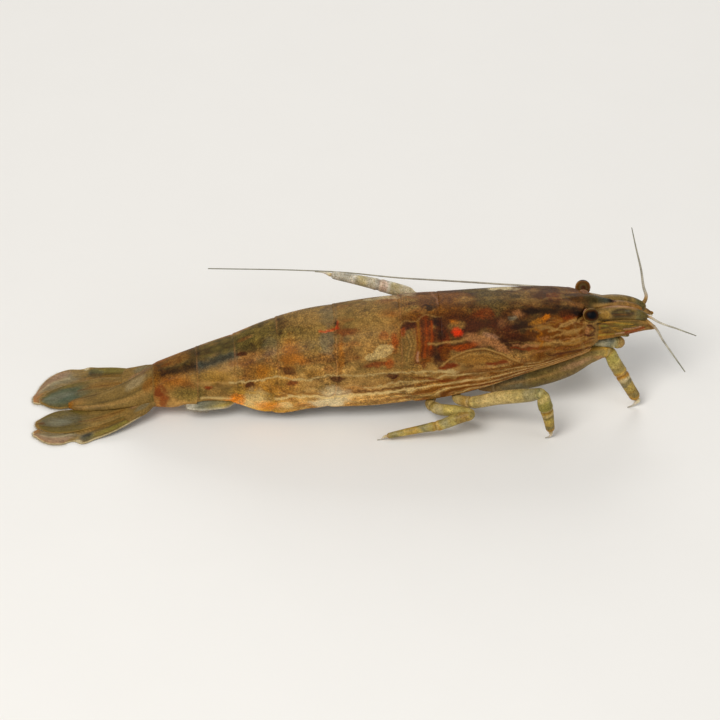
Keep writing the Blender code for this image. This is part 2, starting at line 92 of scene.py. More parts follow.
def joined(*parts: Array | float) -> Array:
    """Arrays spread to one shape and laid side by side in a new last axis."""
    return np.stack(np.broadcast_arrays(*parts), -1)


def unit(vectors: Array) -> Array:
    """Vectors of length one."""
    return vectors / np.maximum(np.linalg.norm(vectors, axis=-1, keepdims=True), 1e-6)


def lengths(path: Array) -> Array:
    """Length along a path at each of its points."""
    return np.concatenate([[0.0], np.cumsum(np.linalg.norm(np.diff(path, axis=0), axis=1))])


def curve(knots: Array, values: Array, query: Array) -> Array:
    """Smooth curve through a table, by cubic pieces between neighbouring knots.

    Each knot's slope is the mean of the two chord slopes beside it, each weighted by the other's span.

    Args:
        knots: rising positions, shape (n,).
        values: one row for each knot, shape (n, k).
        query: positions to read, any shape.

    Returns:
        Values of shape (*query.shape, k).
    """
    step = np.diff(knots)
    chord = np.diff(values, axis=0) / step[:, None]
    slope = np.concatenate([chord[:1], chord[:1].repeat(len(knots) - 2, 0), chord[-1:]])
    weight = (step[1:] + step[:-1])[:, None]
    slope[1:-1] = (step[1:, None] * chord[:-1] + step[:-1, None] * chord[1:]) / weight
    flat = np.clip(np.ravel(query), knots[0], knots[-1])
    i = np.clip(np.searchsorted(knots, flat) - 1, 0, len(knots) - 2)
    span = step[i][:, None]
    t = (flat - knots[i])[:, None] / span
    near = (2 * t**3 - 3 * t**2 + 1) * values[i] + (t**3 - 2 * t**2 + t) * span * slope[i]
    far = (3 * t**2 - 2 * t**3) * values[i + 1] + (t**3 - t**2) * span * slope[i + 1]
    return (near + far).reshape(*np.shape(query), values.shape[1])


def columns_at(rows: Table, x: Array) -> Array:
    """The later columns of a table, each read by `curve` at the places its first column lists."""
    table = np.array(rows)
    return np.moveaxis(curve(table[:, 0], table[:, 1:], x), -1, 0)


def span_of(rows: Table, count: int) -> Array:
    """Places spaced evenly from a table's first row to its last, as a column."""
    return np.linspace(rows[0][0], rows[-1][0], count)[:, None]


class Mottle:
    """Seeded lattice noise between -1 and 1, read at points in millimetres."""

    def __init__(self, seed: int) -> None:
        """Draws the lattice's values."""
        self.values = np.random.default_rng(seed).uniform(-1.0, 1.0, 4096)

    def read(self, points: Array, size: float) -> Array:
        """Noise whose cells are `size` across: eased blends of the eight corners' values.

        A cell's number is the exclusive or of its three indices, each times a large prime.
        """
        q = points / size
        cell = np.floor(q).astype(np.int64)
        part = q - cell
        part = part * part * (3.0 - 2.0 * part)
        total = np.zeros(q.shape[:-1])
        for corner in np.ndindex(2, 2, 2):
            c = cell + corner
            index = (c[..., 0] * 73856093 ^ c[..., 1] * 19349663 ^ c[..., 2] * 83492791) & 4095
            total += np.prod(np.where(corner, part, 1.0 - part), axis=-1) * self.values[index]
        return total

    def layered(self, points: Array, size: float) -> Array:
        """Three sizes of noise, each half as wide and half as strong as the one before."""
        return sum(0.5**k * self.read(points, size / 2**k) for k in range(3)) / 1.2


MOTTLE = Mottle(SEED)
LENGTHWISE = (0.5, 1.0, 1.0)


# Colours and markings ----------------------------------------


class Tone(Enum):
    """Named colours of the animal."""

    SOOT = "20130b"
    MAROON = "47200e"
    BRICK = "77300f"
    RUST = "97430f"
    FLAME = "d8420a"
    ORANGE = "cf7a20"
    AMBER = "a8661f"
    UMBER = "57371a"
    BROWN = "74491f"
    OCHRE = "94662c"
    GOLD = "bb8d3e"
    OLIVE = "5f5029"
    MOSS = "6c5c2d"
    DRAB = "8a7040"
    TAN = "96723f"
    SAND = "b58d54"
    CREAM = "d2b67e"
    PALE = "d9c8a0"
    IVORY = "d5cdbb"
    BLUSH = "c3947a"
    ROSE = "b07a50"
    SLATE = "5f6254"
    GREY = "8b8a76"
    TEAL = "4c6352"
    LIME = "a39a4c"
    STRAW = "b9a562"
    NIGHT = "0b0d12"
    BARK = "5b4a2a"
    LOAM = "45250f"
    CHESTNUT = "6c3e15"
    KHAKI = "8e7140"
    HONEY = "98662a"
    FAWN = "9c7745"

    @property
    def rgb(self) -> Array:
        """The colour as linear light, deepened and made a little richer for the pale room it stands in."""
        code = np.array([int(self.value[k : k + 2], 16) for k in (0, 2, 4)]) / 255.0
        light = np.where(code <= 0.04045, code / 12.92, ((code + 0.055) / 1.055) ** 2.4)
        return 0.72 * np.maximum(light.mean() + 1.10 * (light - light.mean()), 0.1 * light)


(SOOT, MAROON, BRICK, RUST, FLAME, ORANGE, AMBER, UMBER, BROWN, OCHRE, GOLD, OLIVE, MOSS, DRAB, TAN,
 SAND, CREAM, PALE, IVORY, BLUSH, ROSE, SLATE, GREY, TEAL, LIME, STRAW, NIGHT, BARK, LOAM, CHESTNUT,
 KHAKI, HONEY, FAWN) = Tone

Fade = tuple[tuple[float, Tone], ...]


@dataclass(frozen=True)
class Patch:
    """A soft oval of colour on a chart, its rim made ragged by noise."""

    at: tuple[float, float]
    size: tuple[float, float]
    tone: Tone
    strength: float = 0.8
    turn: float = 0.0
    soft: float = 0.4
    rag: float = 0.35
    grain: float = 0.8
    bend: float = 1.0

    def cover(self, chart: Array, noise: Array) -> Array:
        """How much of the patch lies at each point: its strength within the oval, eased to 0 past its rim."""
        c, s = math.cos(math.radians(self.turn)), math.sin(math.radians(self.turn))
        d = chart - self.at
        along = (d[..., 0] * c + d[..., 1] * s) / self.size[0]
        across = (d[..., 1] * c - d[..., 0] * s) / self.size[1]
        worn = self.strength * np.clip(0.92 + 0.30 * noise, 0.0, 1.0 / self.strength)
        return worn * ease(1.0 + self.soft, 1.0 - self.soft, np.hypot(along, across) + self.rag * noise)


@dataclass(frozen=True)
class Streak:
    """A drawn line of colour through a few places on a chart."""

    path: tuple[tuple[float, float], ...]
    width: float
    tone: Tone
    strength: float = 0.8
    wander: float = 0.12
    grain: float = 0.2
    bend: float = 0.45

    def cover(self, chart: Array, noise: Array) -> Array:
        """How much of the line lies at each point: a bell across the distance from its swayed path."""
        knots = np.array(self.path)
        reach = lengths(knots)
        drawn = curve(reach, knots, np.linspace(0.0, reach[-1], 6 * len(knots)))
        moved = chart + joined(0.0, self.wander * noise)
        nearest = np.full(noise.shape, np.inf)
        for start, end in zip(drawn[:-1], drawn[1:]):
            along = end - start
            t = np.clip(((moved - start) @ along) / (along @ along), 0.0, 1.0)
            nearest = np.minimum(nearest, np.linalg.norm(moved - start - t[..., None] * along, axis=-1))
        return self.strength * bump(nearest, 0.0, self.width)


Marks = tuple[Patch | Streak, ...]


def mixed(first: Array, second: Array, share: Array) -> Array:
    """The first colours moved a share of the way to the second."""
    return first + (second - first) * share[..., None]


def toward(colours: Array, tone: Tone, share: Array, grain: float = 1.0) -> Array:
    """Colours moved a share of the way to a tone, and their fourth channel, if any, to a grain."""
    return mixed(colours, np.append(tone.rgb, grain)[: colours.shape[-1]], share)


def grained(colours: Array, grain: Array | float) -> Array:
    """Colours with the strength of the grain as a fourth channel."""
    return np.concatenate([colours, np.broadcast_to(grain, colours.shape[:-1])[..., None]], -1)


def tinted(colours: Array, marks: Marks, chart: Array, noise: Array, warp: Array | float = 0.0) -> Array:
    """Lays each mark in turn over the colours, on a chart bent by the warp as far as the mark follows it."""
    for mark in marks:
        colours = toward(colours, mark.tone, mark.cover(chart + mark.bend * warp, noise), mark.grain)
    return colours


def side_chart(points: Array) -> Array:
    """Length along the body and slanting height, the same on both sides, for marks on the animal's side.

    The height is the level less a share of the distance from the middle plane, so it falls from the crown
    down each side.
    """
    x, y, z = points[..., 0], np.abs(points[..., 1]), points[..., 2]
    return joined(0.99813 * x + 0.06105 * y, 0.03759 * x - 0.61452 * y + 0.78801 * z)


def blended(position: Array, fade: Fade) -> Array:
    """Colours read from a run of tones: straight blends between the places given."""
    places = [place for place, _ in fade]
    table = np.array([tone.rgb for _, tone in fade])
    return joined(*(np.interp(position, places, channel) for channel in table.T))


# Meshes ----------------------------------------


def linked(name: str, data: bpy.types.ID) -> bpy.types.Object:
    """A new object of some data, in the scene."""
    made = bpy.data.objects.new(name, data)
    bpy.context.scene.collection.objects.link(made)
    return made


class Ends(Enum):
    """How the first and last rows of a wrapped grid are closed."""

    POINT = "a point in the middle"
    RIM = "faces between the outer skin and the lining"


@dataclass
class Draft:
    """Points, faces and paint of one piece, gathered grid by grid and made into one object."""

    name: str
    points: list[Array] = field(default_factory=list)
    paint: list[Array] = field(default_factory=list)
    along: list[Array] = field(default_factory=list)
    faces: list[tuple[int, ...]] = field(default_factory=list)
    flat: list[bool] = field(default_factory=list)
    count: int = 0

    def add(self, points: Array, paint: Array, along: Array | float = 0.0) -> Array:
        """Adds loose points with their paint.

        Args:
            points: shape (..., 3), in millimetres.
            paint: linear colours, and in a fourth channel the strength of the grain, or 1 without it.
            along: a length in millimetres at each point, for patterns that follow it.

        Returns:
            The points' numbers, in the grid's own shape.
        """
        shape = points.shape[:-1]
        self.points.append(points.reshape(-1, 3))
        solid = np.ones((*shape, 4))
        solid[..., : paint.shape[-1]] = paint
        self.paint.append(solid.reshape(-1, 4))
        self.along.append(np.broadcast_to(along, shape).reshape(-1))
        first, self.count = self.count, self.count + len(self.points[-1])
        return np.arange(first, self.count).reshape(shape)

    def tube(self, points: Array, paint: Array, along: Array | float = 0.0, ends: Ends = Ends.POINT,
             lining: int = 0) -> None:
        """Adds a closed surface: rows of rings joined by quads, with both ends closed.

        The faces are turned outward by the sign of the enclosed volume, summed over the quads.

        Args:
            points: rings, shape (rows, columns, 3).
            paint: colours of the same shape.
            along: a length for each point, in a shape that spreads to (rows, columns).
            ends: how the end rows are closed.
            lining: with Ends.RIM, how many of the last columns are the inner lining, run backwards.
        """
        index = self.add(points, paint, along)
        run = np.broadcast_to(along, index.shape)
        beside = np.roll(index, -1, axis=1)
        quads = joined(index[:-1], beside[:-1], beside[1:], index[1:]).reshape(-1, 4)
        corner = (points.reshape(-1, 3) - points.mean((0, 1)))[quads - index[0, 0]]
        volume = sum(np.sum(corner[:, 0] * np.cross(corner[:, k], corner[:, k + 1])) for k in (1, 2))
        turned = volume < 0.0
        made = [tuple(q) for q in (quads[:, ::-1] if turned else quads).tolist()]
        self.flat += [False] * len(made)
        for row, front in ((0, True), (-1, False)):
            ring = index[row].tolist()
            if ends is Ends.POINT:
                tip = int(self.add(points[row].mean(0)[None], paint[row].mean(0)[None], run[row].mean())[0])
                cap = [(tip, b, a) for a, b in zip(ring, ring[1:] + ring[:1])]
            else:
                outer, inner = ring[:-lining], ring[:-lining - 1:-1]
                pace = (len(outer) - 1) // (lining - 1)
                cap = [(inner[k], inner[k + 1], *outer[pace * k : pace * (k + 1) + 1][::-1])
                       for k in range(lining - 1)]
            made += [c if front != turned else c[::-1] for c in cap]
            self.flat += [ends is Ends.RIM] * len(cap)
        self.faces += made

    def build(self, finish: Finish, slot: str, *nodes: str) -> bpy.types.Object:
        """Makes the object, gives it its finish and sets it on the frame.

        Args:
            finish: the finish of its surface.
            slot: not used.
            nodes: the CAD nodes that it stands for.

        Returns:
            The new object, at the origin with its place in its mesh.
        """
        mesh = bpy.data.meshes.new(self.name)
        mesh.from_pydata(placed(np.concatenate(self.points)).tolist(), [], self.faces)
        mesh.polygons.foreach_set("use_smooth", [not f for f in self.flat])
        layer = mesh.color_attributes.new("paint", "FLOAT_COLOR", "POINT")
        layer.data.foreach_set("color", np.concatenate(self.paint).ravel())
        run = mesh.attributes.new("along", "FLOAT", "POINT")
        run.data.foreach_set("value", np.concatenate(self.along))
        mesh.update()
        mesh.materials.append(finish.material())
        made = linked(self.name, mesh)
        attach(made, "root")
        if nodes:
            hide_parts(*nodes)
        LOG.info("%s: %d faces", self.name, len(self.faces))
        return made


def make(name: str, shapes: Iterable[Limb | Plate], finish: Finish, slot: str, *nodes: str) -> None:
    """Makes one piece of a few shapes that draw themselves."""
    draft = Draft(name)
    for shape in shapes:
        shape.draw(draft)
    draft.build(finish, slot, *nodes)


# Shader ----------------------------------------


@dataclass(frozen=True)
class Wire:
    """A shader socket whose values take part in sums as Math nodes."""

    graph: Graph
    socket: bpy.types.NodeSocket

    def _maths(self, operation: str, *values: object) -> Wire:
        """One Math node of the values."""
        return self.graph.wire("ShaderNodeMath", {"operation": operation}, dict(enumerate(values)))

    def __add__(self, other: Wire | float) -> Wire:
        """The sum."""
        return self._maths("ADD", self, other)

    def __sub__(self, other: Wire | float) -> Wire:
        """The difference."""
        return self._maths("SUBTRACT", self, other)

    def __rsub__(self, other: float) -> Wire:
        """The difference, with the number first."""
        return self._maths("SUBTRACT", other, self)

    def __mul__(self, other: Wire | float) -> Wire:
        """The product."""
        return self._maths("MULTIPLY", self, other)

    __radd__ = __add__
    __rmul__ = __mul__

    def sine(self) -> Wire:
        """The sine of the value."""
        return self._maths("SINE", self)

    def within(self, low: float, high: float) -> Wire:
        """0 below low, 1 above high and eased between them."""
        return self.graph.wire("ShaderNodeMapRange", {"interpolation_type": "SMOOTHSTEP"},
                               {"Value": self, "From Min": low, "From Max": high})


class Graph:
    """The nodes of one material."""

    def __init__(self, name: str) -> None:
        """Starts an empty node tree."""
        self.material = bpy.data.materials.new(name)
        self.material.use_nodes = True
        self.tree = self.material.node_tree
        self.tree.nodes.clear()

    def node(self, kind: str, settings: Mapping[str, object],
             sockets: Mapping[str | int, object]) -> bpy.types.Node:
        """Adds a node.

        Args:
            kind: the node's type.
            settings: its own settings, set before its sockets.
            sockets: a value or a wire for each named or numbered input.

        Returns:
            The node.
        """
        made = self.tree.nodes.new(kind)
        for key, value in settings.items():
            setattr(made, key, value)
        for key, value in sockets.items():
            if isinstance(value, Wire):
                self.tree.links.new(value.socket, made.inputs[key])
            else:
                made.inputs[key].default_value = value
        return made

    def wire(self, kind: str, settings: Mapping[str, object], sockets: Mapping[str | int, object],
             output: str | int = 0) -> Wire:
        """Adds a node and gives the output of that name or number as a wire."""
        return Wire(self, self.node(kind, settings, sockets).outputs[output])

    def textured(self, kind: str, size: float, settings: Mapping[str, object], output: str,
                 stretch: Triple | None = None) -> Wire:
        """A texture with features about `size` millimetres across, drawn out where stretch is under 1."""
        spot = self.wire("ShaderNodeTexCoord", {}, {}, "Object")
        if stretch:
            spot = self.wire("ShaderNodeMapping", {}, {"Vector": spot, "Scale": stretch})
        return self.wire(kind, {}, {"Vector": spot, "Scale": 1.0 / (size * MM), **settings}, output)

    def noise(self, size: float, detail: float = 2.0, stretch: Triple = (1.0, 1.0, 1.0)) -> Wire:
        """Smooth noise."""
        settings = {"Detail": detail, "Roughness": 0.55}
        return self.textured("ShaderNodeTexNoise", size, settings, "Fac", stretch)

    def cells(self, size: float) -> Wire:
        """Distance from the middle of the nearest cell."""
        return self.textured("ShaderNodeTexVoronoi", size, {}, "Distance")

    def stored(self, name: str, output: str) -> Wire:
        """What the mesh stores at a point: `paint` as Color, its grain as Alpha, or `along` as Fac."""
        return self.wire("ShaderNodeAttribute", {"attribute_name": name}, {}, output)

    def mix(self, factor: Wire | float, first: Wire | Triple, second: Triple,
            blend: str = "MULTIPLY") -> Wire:
        """A colour blended with another by a factor."""
        ready = first if isinstance(first, Wire) else (*first, 1.0)
        return self.wire("ShaderNodeMix", {"data_type": "RGBA", "blend_type": blend, "clamp_factor": True},
                         {0: factor, 6: ready, 7: (*second, 1.0)}, 2)

    def finished(self, sockets: Mapping[str, object]) -> bpy.types.Material:
        """The material, with its surface shader joined to the output."""
        surface = self.wire("ShaderNodeBsdfPrincipled", {}, sockets)
        self.node("ShaderNodeOutputMaterial", {}, {"Surface": surface})
        return self.material


@dataclass(frozen=True)
class Finish:
    """A painted, slightly wet surface with relief from its own pattern."""

    name: str
    roughness: float = 0.5
    spread: float = 0.16
    gloss: float = 0.25
    coat: float = 0.05
    depth: float = 0.03
    glow: float = 0.0

    def pattern(self, graph: Graph, colour: Wire) -> tuple[Wire, Wire]:
        """The colour with its specks, and the height of the relief."""
        return colour, graph.noise(0.2)

    def material(self) -> bpy.types.Material:
        """The finish as a material, made once."""
        known = bpy.data.materials.get(self.name)
        if known:
            return known
        graph = Graph(self.name)
        colour, height = self.pattern(graph, graph.stored("paint", "Color"))
        return graph.finished({
            "Base Color": colour,
            "Roughness": graph.noise(0.6) * self.spread + (self.roughness - self.spread / 2),
            "Normal": graph.wire("ShaderNodeBump", {}, {
                "Strength": 0.8, "Distance": self.depth * MM, "Height": height}),
            "Specular IOR Level": self.gloss, "Coat Weight": self.coat, "Coat Roughness": 0.12,
            "Subsurface Weight": self.glow, "Subsurface Radius": (1.0, 0.55, 0.3),
            "Subsurface Scale": 0.35 * MM})


@dataclass(frozen=True)
class Speck:
    """Grains of one size: the colour is multiplied by a dye where their noise passes from low to high."""

    size: float
    detail: float
    low: float
    high: float
    share: float
    dye: Triple
    relief: float = 0.0
    stretch: Triple = (1.0, 1.0, 1.0)


@dataclass(frozen=True)
class SpeckledFinish(Finish):
    """A finish of light and dark grains over the painted markings, which may follow the paint's own grain."""

    specks: tuple[Speck, ...] = ()
    grained: bool = False

    def pattern(self, graph: Graph, colour: Wire) -> tuple[Wire, Wire]:
        """Each speck's dye laid over the last, and the sum of their noises as relief."""
        height: Wire | float = 0.0
        for speck in self.specks:
            noise = graph.noise(speck.size, speck.detail, speck.stretch)
            shown = noise.within(speck.low, speck.high)
            if self.grained:
                shown = shown * graph.stored("paint", "Alpha")
            colour = graph.mix(shown * speck.share, colour, speck.dye)
            if speck.relief:
                height = noise * speck.relief + height
        return colour, height


@dataclass(frozen=True)
class FeelerFinish(Finish):
    """Feeler: a thread of short rings."""

    ring: float = 0.22

    def pattern(self, graph: Graph, colour: Wire) -> tuple[Wire, Wire]:
        """Rings as the sine of the length along the thread, darker in the grooves."""
        wave = (graph.stored("along", "Fac") * (TAU / self.ring)).sine()
        return graph.mix(wave.within(0.2, 1.0) * 0.35, colour, (0.55, 0.5, 0.46)), wave * 0.5


@dataclass(frozen=True)
class EyeFinish(Finish):
    """Eye: a smooth dark dome of tiny facets."""

    facet: float = 0.085

    def pattern(self, graph: Graph, colour: Wire) -> tuple[Wire, Wire]:
        """Facets as rounded cells."""
        return colour, 1.0 - graph.cells(self.facet)


SHELL = SpeckledFinish("stippled shell", roughness=0.55, gloss=0.09, coat=0.02, grained=True, specks=(
    Speck(0.15, 1.0, 0.46, 0.62, 0.80, (1.95, 1.90, 1.68), relief=0.7),
    Speck(0.21, 1.5, 0.47, 0.63, 0.68, (0.42, 0.37, 0.32)),
    Speck(0.75, 4.0, 0.46, 0.62, 0.60, (0.60, 0.54, 0.46), relief=0.5)))
FIN = SpeckledFinish("rayed fin", roughness=0.55, gloss=0.12, coat=0.02, specks=(
    Speck(0.24, 2.0, 0.44, 0.66, 0.40, (0.60, 0.57, 0.50), relief=1.0, stretch=(0.22, 1.0, 1.0)),
    Speck(0.15, 1.0, 0.48, 0.66, 0.60, (1.60, 1.55, 1.45), relief=0.3),
    Speck(0.22, 1.0, 0.50, 0.68, 0.50, (0.58, 0.53, 0.45)),
    Speck(0.80, 3.0, 0.46, 0.66, 0.45, (0.70, 0.66, 0.58))))
LIMB = SpeckledFinish("clear limb", gloss=0.18, coat=0.06, glow=0.12, specks=(
    Speck(0.42, 3.0, 0.48, 0.66, 0.70, (1.55, 1.55, 1.60), relief=1.0),
    Speck(0.15, 1.0, 0.50, 0.66, 0.75, (0.52, 0.48, 0.38), relief=0.4)))
FEELER = FeelerFinish("ringed feeler", coat=0.0, depth=0.02)
EYE = EyeFinish("faceted eye", roughness=0.46, spread=0.05, gloss=0.05, coat=0.0, depth=0.006)
CLAW = Finish("horny claw", roughness=0.35, gloss=0.5, depth=0.01, glow=0.2)
BRISTLE = Finish("fine bristle", coat=0.0, depth=0.004)


# Trunk ----------------------------------------


@dataclass(frozen=True)
class Zone:
    """The ground colours of the shell at one place along the body, from the back down to the margin."""

    at: float
    back: Tone
    flank: Tone
    belly: Tone


ZONES = (
    Zone(-20.5, BARK, BROWN, TAN), Zone(-17.5, BARK, OCHRE, FAWN), Zone(-13.5, OLIVE, FAWN, DRAB),
    Zone(-9, MOSS, FAWN, GOLD), Zone(-3.5, KHAKI, KHAKI, SAND), Zone(3, KHAKI, FAWN, SAND),
    Zone(8, BROWN, BROWN, TAN), Zone(12.5, BROWN, LOAM, FAWN), Zone(16, BARK, LOAM, FAWN),
    Zone(19.5, UMBER, LOAM, FAWN), Zone(22.5, UMBER, CHESTNUT, OCHRE), Zone(26, UMBER, CHESTNUT, OCHRE))

